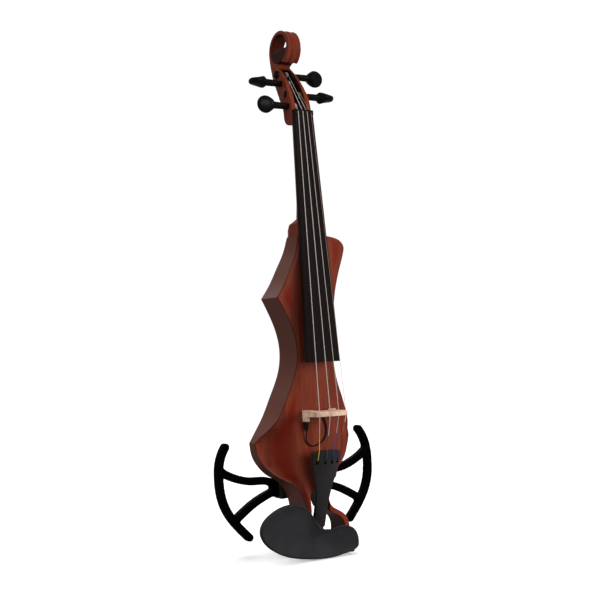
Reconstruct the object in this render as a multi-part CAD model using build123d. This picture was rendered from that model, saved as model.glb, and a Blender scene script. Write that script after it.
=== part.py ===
from build123d import *
import math
import os

# Full-size electric violin: carved open-tailed body, set neck with ring scroll, pegs, strings, bridge
# pickup, centre-mounted chin rest and a pair of sliding shoulder wings, each piece a separate solid.
#
# Working axes while modelling, in millimetres: X across (treble side +), Y through the body (0 is the
# plane of the table, + towards the back), Z up the strings (0 is the bottom of the chin rest).
# Everything is saved about the neck hanger point, which is the part's own origin.

os.makedirs("parts", exist_ok=True)

# ---------------------------------------------------------------- driving dimensions
BRIDGE_Z = 150.5            # height of the bridge above the bottom
STRING_RUN = 325.0          # bridge to nut, measured up the table
NUT_Z = BRIDGE_Z + STRING_RUN
BODY_DEPTH = 38.0           # table plane to flat back
TABLE_SKIN = 4.0            # thickness of the front plate
BODY_TOP = 342.0
TAIL_BOTTOM = 9.0
TAIL_BAR = 10.0             # height of the bar across the tail
SADDLE_Y = 14.0             # front of the recessed middle of the tail bar
RECESS_HALF = 18.0

BOARD_LENGTH = 270.0
BOARD_NUT_WIDTH = 24.0
BOARD_END_WIDTH = 42.0
BOARD_EDGE = 5.0
BOARD_ARCH = 42.0           # radius of the playing surface
BOARD_NUT_Y = 2.8           # top of the board's middle at the nut
BOARD_END_Y = -20.6         # and at its lower end
NECK_HALF_TOP = 11.2
NECK_HALF_HEEL = 15.5
NECK_DEPTH_TOP = 11.0       # wood behind the fingerboard below the pegbox
NECK_DEPTH_LOW = 12.5       # and above the heel
HEEL_TOP = BODY_TOP + 18.0
HEEL_CURVE = 23.0
SHOULDER_THIN = 5.0         # the back slopes in by this at the body's upper end
SHOULDER_START = BODY_TOP - 52.0

BRIDGE_HEIGHT = 31.9
BRIDGE_FEET = 41.0
BRIDGE_FOOT_THICK = 8.0
BRIDGE_TOP_THICK = 4.6
NUT_SPREAD = 16.5
BRIDGE_SPREAD = 33.5
NUT_LENGTH = 5.0
NUT_RISE = 0.6              # strings above the board at the nut
BRIDGE_ARCH = 41.0
BRIDGE_EYES = ((0, -18.5, 3.2), (-9.8, -16.5, 2.6), (9.8, -16.5, 2.6))     # across, depth, radius
BRIDGE_HALF_TOP = 19.6
FOOT_INNER = 12.5
STRING_NAMES = ("g", "d", "a", "e")
STRING_DIAMETERS = (0.82, 0.86, 0.70, 0.30)
STRING_LIFT = 0.15          # between a string and the tailpiece's face
STRING_SLACK = 0.06         # clearance round a string in its notch
PEG_TOUCH = 0.25            # gap between a string's end and its winding
BALL_R = 1.3
BALL_LENGTH = 2.2
SLEEVE_LENGTH = 6.0
SLEEVE_WALL = 0.45

TAILPIECE_TOP_Z = 111.0
TAILPIECE_LENGTH = 90.0
TAILPIECE_TOP_WIDTH = 36.0
TAILPIECE_NECK_WIDTH = 15.0
TAILPIECE_THICK = 4.5
TAILPIECE_TOP_Y = -20.5
TAIL_LEAN = 0.32            # the tailpiece goes this far back for each millimetre down
HOLE_R = 1.7
SLOT_HALF = 0.65
SLOT_LENGTH = 6.5
SLOT_BELOW_TOP = 13.5
SLOT_SPREAD = 25.5
TAIL_CORD_R = 1.1
CORD_Z = 4.6
BUTTON_Y = 26.0
SADDLE_HALF = 9.0
TAIL_CLEARANCE = 1.5        # wood cut away round the tailpiece where it dips through the tail opening
WAY_DEPTH = 60.0            # the cleared way is open to the front

PICKUP_HALF = 3.0           # pickup lump under the bass foot of the bridge
PICKUP_HEIGHT = 4.0
PLUG_X, PLUG_Y, PLUG_R = -17.5, -2.9, 2.3
PLUG_LENGTH = 10.0
CABLE_R = 0.75
BOOT_HALF = 2.4
BOOT_THICK = 4.0
BOOT_HEIGHT = 3.5

PEG_SHAFT_R = 3.5
PEG_CLEARANCE = 0.05
PEG_HEAD_R = 9.6
PEG_HEAD_THICK = 7.0
PEG_HEAD_X = 40.5           # middle of a peg's head from the centre line
CHEEK_HALF = 12.5           # half the pegbox's width at the nut
THROAT_HALF = 9.0
PEGBOX_WALL = 5.5
# string, side of its head, height above the nut, depth, is the head turned face on, where its string winds
PEGS = {
    "g": (-1, 10.5, 14.5 + PEG_SHAFT_R, True, -4.3),
    "e": (1, 24.5, 19.0 + PEG_SHAFT_R, False, 4.9),
    "d": (-1, 39.0, 29.8 + PEG_SHAFT_R, False, -2.0),
    "a": (1, 51.0, 38.5 + PEG_SHAFT_R, True, 1.4),
}
PEG_TIP = 0.8               # how far a peg's end stands out of the far cheek
WINDING_ROOM = 0.18         # between the lowest winding and the pegbox's floor
WINDING_WIDTH = 3.0
COLLAR_R = 6.6
RING_CENTRE = (38.7, NUT_Z + 79.5)
RING_R = 20.6
RING_BAND = 4.4
RING_HALF = 8.2
FLUTE_X = 4.1               # two flutes run round the ring's band
FLUTE_R = 3.0
FLUTE_DEPTH = 1.2
RING_TIP = 238.0            # where the ring's band ends, curled under

CHIN_THICK = 7.0
CHIN_FRONT_Y = -24.0
CLAMP_X = 24.0
CLAMP_BARREL_R = 3.2
CLAMP_ROD_R = 1.7
ROD_Z = 4.5
POST_HALF = 3.5
CORK = 1.5

WING_BAR = 8.6
WING_THICK = 9.0
WING_GAP = 6.0              # between the wings and the flat back
WING_TILT = 2.5             # the rest is set a little askew
TONGUE_LENGTH = 20.0
TONGUE_HEIGHT = 13.0
TONGUE_THICK = 4.0
SLIDE_CLEARANCE = 0.15
BRACKET_Z = 69.0
BRACKET_HALF = 27.0
BRACKET_HEIGHT = 20.0
BRACKET_WALL = 5.0
THUMB_R = 2.0
THUMB_HEAD_R = 6.5
THUMB_X = 17.0

COVER_THICK = 2.5
COVER_GAP = 0.2
COVER_LEDGE = 3.5
CHANNEL_HALF = 14.0         # routed electronics channel
CHANNEL_BOTTOM = 152.0
CHANNEL_TOP = 268.0
CHAMBER_HALF = 28.0         # routed battery chamber
CHAMBER_BOTTOM = 95.0
CHAMBER_TOP = 140.0
ROUT_FRONT_Y = 15.0         # floor of both routs
JACK_Z = 222.0
SEAT_X = 23.3               # foot of the jacks' flanges, let into the treble flank
PHONES_Z = 203.0
JACK_R = 3.2
PHONES_R = 1.8
JACK_Y = 25.0
SOCKET_DEPTH = 20.0
POT_ZS = (236.0, 256.0)
KNOB_R = 6.5
KNOB_HEIGHT = 8.0
POT_SHAFT_R = 3.0
POT_R = 8.0
BATTERY = (26.5, 17.5, 48.5)     # height, thickness and width
BATTERY_GAP = 1.5
TERMINAL_R = 2.6
TERMINAL = 1.6
LEAD_R = 0.9
WIRE_X, WIRE_Y = 10.0, 22.0
BOARD_Z = (160.0, 194.0)
PIN_R = 0.75

HANG_Y = 15.0               # the neck hanger's point, on the neck under the pegbox
HANG_Z = NUT_Z - 25.0
TO_HANGER = Pos(0, -HANG_Y, -HANG_Z)


# ---------------------------------------------------------------- helpers
def save(name, *pieces):
    """Writes one node; several pieces become a group of separate solids."""
    solids = [s for p in pieces for s in p.solids()]
    shape = solids[0] if len(solids) == 1 else Compound(children=solids)
    export_step(TO_HANGER * shape, f"parts/{name}.step")


def front(*edges):
    """A face drawn in the X-Z plane as seen from the front, at Y 0."""
    return Plane.XZ * make_face(list(edges))


def through(face, y_from, y_to):
    """A front-view face carried from one depth to another."""
    return Pos(0, y_from, 0) * extrude(face, amount=-(y_to - y_from))


def side(*edges):
    """A face drawn in the Y-Z plane, at X 0."""
    return Plane.YZ * make_face(list(edges))


def block(x0, x1, y0, y1, z0, z1):
    """A box between two corners."""
    box = Box(x1 - x0, y1 - y0, z1 - z0)
    return Pos((x0 + x1) / 2, (y0 + y1) / 2, (z0 + z1) / 2) * box


def rod(radius, start, end):
    """A round bar between two points."""
    a, b = Vector(*start), Vector(*end)
    plane = Plane(origin=a, z_dir=b - a)
    return plane * Cylinder(radius, (b - a).length, align=(Align.CENTER, Align.CENTER, Align.MIN))


def spun(points, origin, axis):
    """A turned piece: (radius, distance along the axis) points revolved about that axis."""
    outline = Polyline(*points, close=True)
    turned = revolve(Plane.XZ * make_face(outline), Axis.Z)
    return Plane(origin=Vector(*origin), z_dir=Vector(*axis)) * turned


def lerp(a, b, t):
    """A value a share t of the way from a to b."""
    return a + (b - a) * t


# ---------------------------------------------------------------- body outline and carved front
BASS_SHOULDER = [(-17, BODY_TOP), (-19.5, 326), (-27, 308), (-35.2, 291), (-45.3, 275.6)]
BASS_WAIST = [(-45.3, 275.6), (-37, 261.5), (-27.3, 240), (-23.2, 216), (-25.6, 197.5),
              (-38.8, 167), (-48.8, 147), (-62, 127), (-65.5, 121.5)]
BASS_BOUT = [(-65.5, 121.5), (-63, 107), (-56.5, 96), (-45.5, 85.5), (-32.5, 77.5), (-23.5, 67),
             (-19, 55), (-18, 45), (-21, 36), (-29, 28.5), (-35.5, 20), (-36.5, TAIL_BOTTOM)]
TREBLE_TAIL = [(36.5, TAIL_BOTTOM), (37, 25), (34, 36), (23, 44.5), (14.6, 50.5), (12, 59), (14.5, 69),
               (22, 79), (33, 86.5), (44, 93.5), (54, 105), (59, 121.5)]
TREBLE_BOUT = [(59, 121.5), (54.5, 131), (45.5, 147), (36, 167), (27, 192), (24.2, 212), (25.3, 245),
               (29.3, 279), (37, 307), (42.8, 324), (43.6, 331), (40.6, 336), (34, 339.8), (24, BODY_TOP)]
HOLE_BASS = [(-7, 69.5), (-12, 66.5), (-13.5, 59), (-12.8, 46), (-15, 38), (-23, 31), (-29.5, 23),
             (-29, TAIL_BOTTOM + TAIL_BAR)]
HOLE_TREBLE = [(29, TAIL_BOTTOM + TAIL_BAR), (30.5, 27), (27.5, 33.5), (20, 39.3), (11, 44.5), (7, 50),
               (5.5, 57), (2.5, 65), (-7, 69.5)]
# each lower bout is bevelled: (point on the bevel's upper line, its way outwards, depth per mm out)
BASS_BEVEL = ((-48, 147), (-0.954, -0.298), 1.05)
TREBLE_BEVEL = ((40, 165), (0.971, -0.238), 1.0)
BEVEL_FOOT = 66.0           # the bevels stop above the tail
REACH = 220.0


def bevel(line, inset):
    """The space in front of a bout's bevel, or in front of a plane that is inset behind it."""
    (x, z), (out_x, out_z), slope = line
    away = Vector(slope * out_x, -1, slope * out_z)
    plane = Plane(origin=Vector(x, inset, z), z_dir=away)
    space = plane * Box(REACH, REACH, REACH / 2, align=(Align.CENTER, Align.CENTER, Align.MIN))
    side_x = math.copysign(REACH, out_x)
    return space & block(min(0, side_x), max(0, side_x), -5, BODY_DEPTH + 1, BEVEL_FOOT, REACH)


body_plan = front(
    Spline(*BASS_SHOULDER), Spline(*BASS_WAIST), Spline(*BASS_BOUT),
    Line(BASS_BOUT[-1], TREBLE_TAIL[0]),
    Spline(*TREBLE_TAIL), Spline(*TREBLE_BOUT),
    Line(TREBLE_BOUT[-1], BASS_SHOULDER[0]),
)
tail_hole = front(
    Spline(*HOLE_BASS), Line(HOLE_BASS[-1], HOLE_TREBLE[0]), Spline(*HOLE_TREBLE),
)
hole = through(tail_hole, -2, BODY_DEPTH + 1)
recess = block(-RECESS_HALF, RECESS_HALF, -5, SADDLE_Y, TAIL_BOTTOM - 1, TAIL_BOTTOM + TAIL_BAR + 1)
table_slab = through(body_plan, 0, TABLE_SKIN) - hole - recess
depth_slab = through(body_plan, TABLE_SKIN, BODY_DEPTH) - hole - recess
outer_bevels = [bevel(line, 0) for line in (BASS_BEVEL, TREBLE_BEVEL)]
seam_bevels = [bevel(line, TABLE_SKIN) for line in (BASS_BEVEL, TREBLE_BEVEL)]
bevel_skins = [depth_slab & seam - outer for seam, outer in zip(seam_bevels, outer_bevels)]
body_core = depth_slab - seam_bevels[0] - seam_bevels[1]
shoulder_wedge = side(Polyline(
    (BODY_DEPTH, SHOULDER_START), (BODY_DEPTH + 1, SHOULDER_START), (BODY_DEPTH + 1, BODY_TOP + 1),
    (BODY_DEPTH - SHOULDER_THIN, BODY_TOP + 1), close=True))
body_core -= extrude(shoulder_wedge, amount=REACH, both=True)
top_plate = (table_slab - outer_bevels[0] - outer_bevels[1]) + bevel_skins[0] + bevel_skins[1]


# ---------------------------------------------------------------- fingerboard, neck, pegbox and scroll
def board_top(z):
    """Depth of the middle of the playing surface at a height."""
    return lerp(BOARD_NUT_Y, BOARD_END_Y, (NUT_Z - z) / BOARD_LENGTH)


def board_half(z):
    """Half the fingerboard's width at a height."""
    return lerp(BOARD_NUT_WIDTH, BOARD_END_WIDTH, (NUT_Z - z) / BOARD_LENGTH) / 2


def arch(radius, x):
    """How far an arched surface has fallen at a distance from its middle."""
    return radius - math.sqrt(radius ** 2 - x ** 2)


BOARD_END_Z = NUT_Z - BOARD_LENGTH
UNDER_NUT_Y = BOARD_NUT_Y + arch(BOARD_ARCH, BOARD_NUT_WIDTH / 2) + BOARD_EDGE
UNDER_END_Y = BOARD_END_Y + arch(BOARD_ARCH, BOARD_END_WIDTH / 2) + BOARD_EDGE


def board_under(z):
    """Depth of the fingerboard's flat underside at a height."""
    return lerp(UNDER_NUT_Y, UNDER_END_Y, (NUT_Z - z) / BOARD_LENGTH)


def board_section(z):
    """The fingerboard's section: flat underneath, square edges, arched playing surface."""
    half, top, under = board_half(z), board_top(z), board_under(z)
    edge = under - BOARD_EDGE
    outline = [
        ThreePointArc((-half, edge), (0, top), (half, edge)), Line((half, edge), (half, under)),
        Line((half, under), (-half, under)), Line((-half, under), (-half, edge)),
    ]
    return Pos(0, 0, z) * make_face(outline)


def neck_section(z, half, back):
    """The neck's section: flat under the fingerboard, rounded at the back."""
    under = board_under(z)
    shoulder = back - 0.85 * half
    outline = [
        Line((-half, under), (half, under)), Line((half, under), (half, shoulder)),
        ThreePointArc((half, shoulder), (0, back), (-half, shoulder)),
        Line((-half, shoulder), (-half, under)),
    ]
    return Pos(0, 0, z) * make_face(outline)


fingerboard = loft([board_section(NUT_Z), board_section(BOARD_END_Z)], ruled=True)

neck_top = NUT_Z - 8.0
heel_back = BODY_DEPTH - SHOULDER_THIN
heel_meet = HEEL_TOP + HEEL_CURVE
neck = loft([
    neck_section(neck_top, NECK_HALF_TOP, board_under(neck_top) + NECK_DEPTH_TOP),
    neck_section(heel_meet, 13.6, board_under(heel_meet) + NECK_DEPTH_LOW),
    neck_section(HEEL_TOP + 10, 13.9, board_under(HEEL_TOP + 10) + NECK_DEPTH_LOW + 2.5),
    neck_section(HEEL_TOP + 2, 14.1, board_under(HEEL_TOP + 2) + NECK_DEPTH_LOW + 9.5),
    neck_section(HEEL_TOP - 4, 14.3, heel_back - 4),
    neck_section(HEEL_TOP - 11, 14.6, heel_back - 1),
    neck_section(BODY_TOP, NECK_HALF_HEEL, heel_back),
], ruled=True)


def above_nut(*points):
    """(depth, height above the nut) pairs as points in the side view."""
    return [(y, NUT_Z + up) for y, up in points]


def on_ring(degrees, radius=RING_R):
    """A point on the scroll ring, from the back at 0 over the top at 90."""
    turn = math.radians(degrees)
    return (RING_CENTRE[0] + radius * math.cos(turn), RING_CENTRE[1] + radius * math.sin(turn))


throat, under_tip = above_nut((43.5, 61.0), (34.0, 64.5))
pegbox_front = above_nut((9, NUT_LENGTH), (10, 11.5), (16, 27), (29, 46.8)) + [throat]
pegbox_back = [on_ring(0)] + above_nut((57.3, 65.5), (52.2, 49.8), (42.6, 34), (32, 16.9), (27, 4.5),
                                       (26, -3), (22.6, -8.4), (17.5, -10.6))
neck_seat = above_nut((UNDER_NUT_Y, -10.6), (UNDER_NUT_Y, NUT_LENGTH))
head_profile = side(
    Spline(*pegbox_front), Spline(throat, under_tip, on_ring(RING_TIP)),
    ThreePointArc(on_ring(RING_TIP), on_ring(RING_TIP / 2), on_ring(0)),
    Spline(*pegbox_back), Line(pegbox_back[-1], neck_seat[0]), Line(*neck_seat),
    Line(neck_seat[1], pegbox_front[0]),
)
head_bulk = extrude(head_profile, amount=2 * CHEEK_HALF, both=True)
head_plan = front(Polyline(*[(x, NUT_Z + up) for x, up in (
    (-CHEEK_HALF, -15), (CHEEK_HALF, -15), (CHEEK_HALF, 22), (THROAT_HALF, 56), (RING_HALF, 110),
    (-RING_HALF, 110), (-THROAT_HALF, 56), (-CHEEK_HALF, 22))], close=True))
pegbox_floor = PEGS["g"][1] - PEG_SHAFT_R - STRING_DIAMETERS[0] - WINDING_ROOM
room = 2 * PEG_SHAFT_R      # the pegbox is as much deeper as its pegs are thicker
cavity_side = side(Polyline(*above_nut(
    (-5, pegbox_floor), (15.8 + room, pegbox_floor), (20 + room, 17), (30.2 + room, 34), (40 + room, 49.5),
    (43 + room, 57), (20, 57), (-5, 25)), close=True))
cavity_plan = front(Polyline(*[(x, NUT_Z + up) for x, up in (
    (PEGBOX_WALL - CHEEK_HALF, 5), (CHEEK_HALF - PEGBOX_WALL, 5), (CHEEK_HALF - PEGBOX_WALL, 22),
    (THROAT_HALF - PEGBOX_WALL + 0.8, 58), (PEGBOX_WALL - THROAT_HALF - 0.8, 58),
    (PEGBOX_WALL - CHEEK_HALF, 22))], close=True))
ring_inner = RING_R - RING_BAND
ring_floor = RING_CENTRE[1] - 1.0
ring_hole = Pos(0, RING_CENTRE[0], RING_CENTRE[1]) * Rot(0, 90, 0) * Cylinder(ring_inner, 40)
ring_hole &= block(-20, 20, 0, 80, ring_floor, NUT_Z + 120)
head = head_bulk & through(head_plan, -5, 80)
head -= extrude(cavity_side, amount=CHEEK_HALF, both=True) & through(cavity_plan, -6, 80)
head -= ring_hole
for _, up, deep, _, _ in PEGS.values():
    head -= rod(PEG_SHAFT_R + PEG_CLEARANCE, (-40, deep, NUT_Z + up), (40, deep, NUT_Z + up))
for sign in (-1, 1):
    flute = Pos(sign * FLUTE_X, *RING_CENTRE) * Rot(0, 90, 0) * Torus(RING_R + FLUTE_R - FLUTE_DEPTH, FLUTE_R)
    head -= flute - block(-20, 20, RING_CENTRE[0] - 8, 90, NUT_Z, RING_CENTRE[1] - 1)
neck_scroll = neck + head

nut_back = UNDER_NUT_Y
nut_half = BOARD_NUT_WIDTH / 2
nut_top = BOARD_NUT_Y - NUT_RISE
nut_edge = nut_top + arch(BOARD_ARCH, nut_half)
nut_face = make_face([
    ThreePointArc((-nut_half, nut_edge), (0, nut_top), (nut_half, nut_edge)),
    Line((nut_half, nut_edge), (nut_half, nut_back)), Line((nut_half, nut_back), (-nut_half, nut_back)),
    Line((-nut_half, nut_back), (-nut_half, nut_edge)),
])
nut = Pos(0, 0, NUT_Z) * extrude(nut_face, amount=NUT_LENGTH)


# ---------------------------------------------------------------- bridge


def bridge_top(x):
    """Depth of the bridge's curved top edge."""
    return -BRIDGE_HEIGHT + arch(BRIDGE_ARCH, x)


foot_outer = BRIDGE_FEET / 2
flank = [(foot_outer, -3.5), (16.8, -8.5), (16.2, -14.5), (19.4, -20.5), (BRIDGE_HALF_TOP, -25.8)]
horn = bridge_top(BRIDGE_HALF_TOP)
bridge_face = make_face([
    Line((-foot_outer, 0), (-FOOT_INNER, 0)),
    Spline((-FOOT_INNER, 0), (-8, -7), (0, -9.5), (8, -7), (FOOT_INNER, 0)),
    Line((FOOT_INNER, 0), (foot_outer, 0)), Line((foot_outer, 0), flank[0]), Spline(*flank),
    Line(flank[-1], (BRIDGE_HALF_TOP, horn)),
    ThreePointArc((BRIDGE_HALF_TOP, horn), (0, -BRIDGE_HEIGHT), (-BRIDGE_HALF_TOP, horn)),
    Line((-BRIDGE_HALF_TOP, horn), (-flank[-1][0], flank[-1][1])),
    Spline(*[(-x, y) for x, y in reversed(flank)]),
    Line((-foot_outer, flank[0][1]), (-foot_outer, 0)),
])
bridge = Pos(0, 0, BRIDGE_Z) * extrude(bridge_face, amount=10, both=True)
bridge_wedge = side(Polyline(
    (1, BRIDGE_Z - BRIDGE_FOOT_THICK / 2), (1, BRIDGE_Z + BRIDGE_FOOT_THICK / 2),
    (-4, BRIDGE_Z + BRIDGE_FOOT_THICK / 2), (-8, BRIDGE_Z + 3.2),
    (-BRIDGE_HEIGHT - 1, BRIDGE_Z + BRIDGE_TOP_THICK / 2),
    (-BRIDGE_HEIGHT - 1, BRIDGE_Z - BRIDGE_TOP_THICK / 2), (-8, BRIDGE_Z - 3.2),
    (-4, BRIDGE_Z - BRIDGE_FOOT_THICK / 2), close=True))
bridge &= extrude(bridge_wedge, amount=30, both=True)
for x, y, radius in BRIDGE_EYES:
    bridge -= rod(radius, (x, y, BRIDGE_Z - 10), (x, y, BRIDGE_Z + 10))

# ---------------------------------------------------------------- tailpiece
lean = math.hypot(1, TAIL_LEAN)
tail_plane = Plane(origin=(0, TAILPIECE_TOP_Y, TAILPIECE_TOP_Z), x_dir=(1, 0, 0), z_dir=(0, -1, -TAIL_LEAN))

def tail_outline(grow):
    """The tailpiece's outline, flared at the top and straight at its neck, grown by an amount all round."""
    top_half, neck_half = TAILPIECE_TOP_WIDTH / 2, TAILPIECE_NECK_WIDTH / 2
    shape = [(1.0, -2), (0.74, -20), (0.41, -34), (0.16, -46), (0.0, -62), (0.0, 4 - TAILPIECE_LENGTH)]
    edge = [(lerp(neck_half, top_half, share) + grow, along) for share, along in shape]
    mirrored = [(-x, along) for x, along in reversed(edge)]
    return make_face([
        ThreePointArc(mirrored[-1], (0, grow), edge[0]), Spline(*edge),
        ThreePointArc(edge[-1], (0, -TAILPIECE_LENGTH - grow), mirrored[0]), Spline(*mirrored),
    ])


tailpiece = tail_plane * extrude(tail_outline(0), amount=-TAILPIECE_THICK)
tail_way = tail_plane * Pos(0, 0, -TAILPIECE_THICK - TAIL_CLEARANCE) * extrude(
    tail_outline(TAIL_CLEARANCE), amount=WAY_DEPTH)
body_core -= tail_way
top_plate -= tail_way
slot_xs = [SLOT_SPREAD * (i / 3 - 0.5) for i in range(4)]
for x in slot_xs:
    slot_cut = Pos(x, -SLOT_BELOW_TOP, 0) * Cylinder(HOLE_R, 20)
    slot_cut += Pos(x, -SLOT_BELOW_TOP + SLOT_LENGTH / 2, 0) * Box(2 * SLOT_HALF, SLOT_LENGTH, 20)
    tailpiece -= tail_plane * slot_cut
for x in (-4.5, 4.5):
    hole_place = Pos(x, -TAILPIECE_LENGTH + 2, -TAILPIECE_THICK / 2) * Rot(90, 0, 0)
    cord_hole = hole_place * Cylinder(TAIL_CORD_R + 0.1, 16)
    tailpiece -= tail_plane * cord_hole


def on_tailpiece(x, along, height):
    """A point in the tailpiece's own terms: across, up from its top end, above its face."""
    return tail_plane.from_local_coords(Vector(x, along, height))


# ---------------------------------------------------------------- strings


def string_route(i):
    """A string's corners from the ball under the tailpiece to the point where its winding takes over."""
    share, radius = i / 3 - 0.5, STRING_DIAMETERS[i] / 2
    _, up, deep, _, wind_x = PEGS[STRING_NAMES[i]]
    bridge_x, nut_x = BRIDGE_SPREAD * share, NUT_SPREAD * share
    wind_front = deep - PEG_SHAFT_R - 2 * radius - PEG_TOUCH - radius
    return [
        on_tailpiece(slot_xs[i], -SLOT_BELOW_TOP, -TAILPIECE_THICK - 1),
        on_tailpiece(slot_xs[i], -SLOT_BELOW_TOP + 4.5, radius + STRING_LIFT),
        on_tailpiece(slot_xs[i], 0.4, radius + STRING_LIFT),
        Vector(bridge_x, bridge_top(bridge_x), BRIDGE_Z),
        Vector(nut_x, nut_top + arch(BOARD_ARCH, nut_x), NUT_Z + NUT_LENGTH / 2),
        Vector(wind_x, wind_front, NUT_Z + up + 1),
    ]


def string_tube(i, radius):
    """A round tube along one string's route."""
    path = FilletPolyline(*string_route(i), radius=1.5)
    section = Plane(origin=path @ 0, z_dir=path % 0) * Circle(radius)
    return sweep(section, path=path)


strings = {}
for i, name in enumerate(STRING_NAMES):
    radius = STRING_DIAMETERS[i] / 2
    strings[name] = string_tube(i, radius)
    clear = string_tube(i, radius + STRING_SLACK)
    nut -= clear
    bridge -= clear
balls = [
    Plane(origin=on_tailpiece(x, -SLOT_BELOW_TOP, -TAILPIECE_THICK - 1), z_dir=tail_plane.z_dir)
    * Cylinder(BALL_R, BALL_LENGTH, align=(Align.CENTER, Align.CENTER, Align.MAX)) - strings[name]
    for x, name in zip(slot_xs, STRING_NAMES)
]

# ---------------------------------------------------------------- pegs and their windings


def peg(side_sign, up, deep, face_on):
    """A friction peg: shaft through both cheeks, flared collar, flat round head on its thin neck."""
    tip = -CHEEK_HALF - PEG_TIP
    turned = spun([(0, tip), (PEG_SHAFT_R, tip), (PEG_SHAFT_R, 25.5), (4.6, 27), (COLLAR_R, 28.2),
                   (COLLAR_R, 29.4), (5.0, 31.5), (4.0, 34), (4.0, 38), (0, 38)],
                  (0, 0, 0), (1, 0, 0))
    head_disc = Pos(PEG_HEAD_X, 0, 0) * (Rot(90, 0, 0) if face_on else Rot(0, 0, 0))
    blank = turned + head_disc * Cylinder(PEG_HEAD_R, PEG_HEAD_THICK)
    if side_sign < 0:
        blank = blank.mirror(Plane.YZ)
    return Pos(0, deep, NUT_Z + up) * blank


pegs, windings = {}, {}
for i, name in enumerate(STRING_NAMES):
    sign, up, deep, face_on, wind_x = PEGS[name]
    pegs[name] = peg(sign, up, deep, face_on)
    wound = PEG_SHAFT_R + STRING_DIAMETERS[i]
    centre = (wind_x - WINDING_WIDTH / 2, deep, NUT_Z + up)
    windings[name] = rod(wound, centre, (centre[0] + WINDING_WIDTH, deep, NUT_Z + up))
    windings[name] -= rod(PEG_SHAFT_R, (-20, deep, NUT_Z + up), (20, deep, NUT_Z + up))

# ---------------------------------------------------------------- bridge pickup
PLUG_TOP = BRIDGE_Z - BRIDGE_FOOT_THICK / 2 - PICKUP_HEIGHT
PLUG_BOTTOM = PLUG_TOP - PLUG_LENGTH
pickup_block = block(PLUG_X - PICKUP_HALF, PLUG_X + PICKUP_HALF, -5.6, -0.1,
                     PLUG_TOP, BRIDGE_Z - BRIDGE_FOOT_THICK / 2)
pickup_plug = spun([(0, 0), (PLUG_R, 0), (PLUG_R, -6.5), (CABLE_R + 0.5, -PLUG_LENGTH), (0, -PLUG_LENGTH)],
                   (PLUG_X, PLUG_Y, PLUG_TOP), (0, 0, 1))
BOOT = (5.0, BRIDGE_Z - 3.0)    # where the cable runs into its boot under the bridge
CABLE_ROUTE = [
    (PLUG_X, PLUG_Y, PLUG_BOTTOM), (-18.0, -1.9, 126.5), (-16.6, -1.2, 119.6), (-9.8, -1.0, 115.4),
    (-1.8, -0.9, 117.0), (5.2, -0.9, 121.2), (9.2, -0.9, 128.6), (9.0, -0.9, 138.0), (BOOT[0], -1.6, BOOT[1]),
]
cable_boot = block(BOOT[0] - BOOT_HALF, BOOT[0] + BOOT_HALF, -BOOT_THICK, 0,
                   BOOT[1], BOOT[1] + BOOT_HEIGHT)

# ---------------------------------------------------------------- tail cord, saddle and end button
saddle = block(-SADDLE_HALF, SADDLE_HALF, SADDLE_Y - 0.6, SADDLE_Y + 2.4,
               TAIL_BOTTOM - 1.2, TAIL_BOTTOM + 2.4)
end_button = spun([(0, 9), (3.4, 9), (3.4, 0), (7, 0), (7, -1.5), (3, -2.2), (3, -5.6), (6.2, -6.4),
                   (6, -8.6), (3.5, -9.6), (0, -9.6)], (0, BUTTON_Y, TAIL_BOTTOM), (0, 0, 1))
cord_top = TAILPIECE_TOP_Z - TAILPIECE_LENGTH / lean + 6
cord_y = TAILPIECE_TOP_Y + TAIL_LEAN * (TAILPIECE_TOP_Z - cord_top) + 0.48 * TAILPIECE_THICK
cord_path = FilletPolyline(
    (4.5, cord_y, cord_top), (4.5, 12.0, 6.4), (4.25, 24, CORD_Z), (4.25, 30.4, CORD_Z),
    (-4.25, 30.4, CORD_Z), (-4.25, 24, CORD_Z), (-4.5, 12.0, 6.4), (-4.5, cord_y, cord_top), radius=2.4)
cord_start = Plane(origin=cord_path @ 0, z_dir=cord_path % 0)
tail_cord = sweep(cord_start * Circle(TAIL_CORD_R), path=cord_path)
tailpiece -= sweep(cord_start * Circle(TAIL_CORD_R + 0.05), path=cord_path)

# ---------------------------------------------------------------- chin rest
CHIN_OUTLINE = [(-64.9, 58.5), (-78, 52.5), (-86.5, 45.0), (-89.6, 36.0), (-86, 26), (-75, 15.8), (-57, 7.0),
                (-31, 1.6), (-3, 0), (16, 2.4), (28.6, 6.4), (31.2, 15), (27, 25.6), (19, 30.6), (8, 31.4),
                (-1, 29.6), (-9, 29.8), (-16, 33.4), (-23, 41.5), (-30.5, 52.5), (-41, 59.2), (-52, 60.6)]
CHIN_BACK_Y = CHIN_FRONT_Y + CHIN_THICK
chin_outline = front(Spline(*CHIN_OUTLINE, periodic=True))
chin_plate = through(chin_outline, CHIN_FRONT_Y, CHIN_BACK_Y)
chin_studs, barrels, corks = [], {}, []
clamp_back = BODY_DEPTH + CORK
clamp = block(-CLAMP_X - POST_HALF, CLAMP_X + POST_HALF, clamp_back, clamp_back + 2.5, 2, 8)
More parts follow.
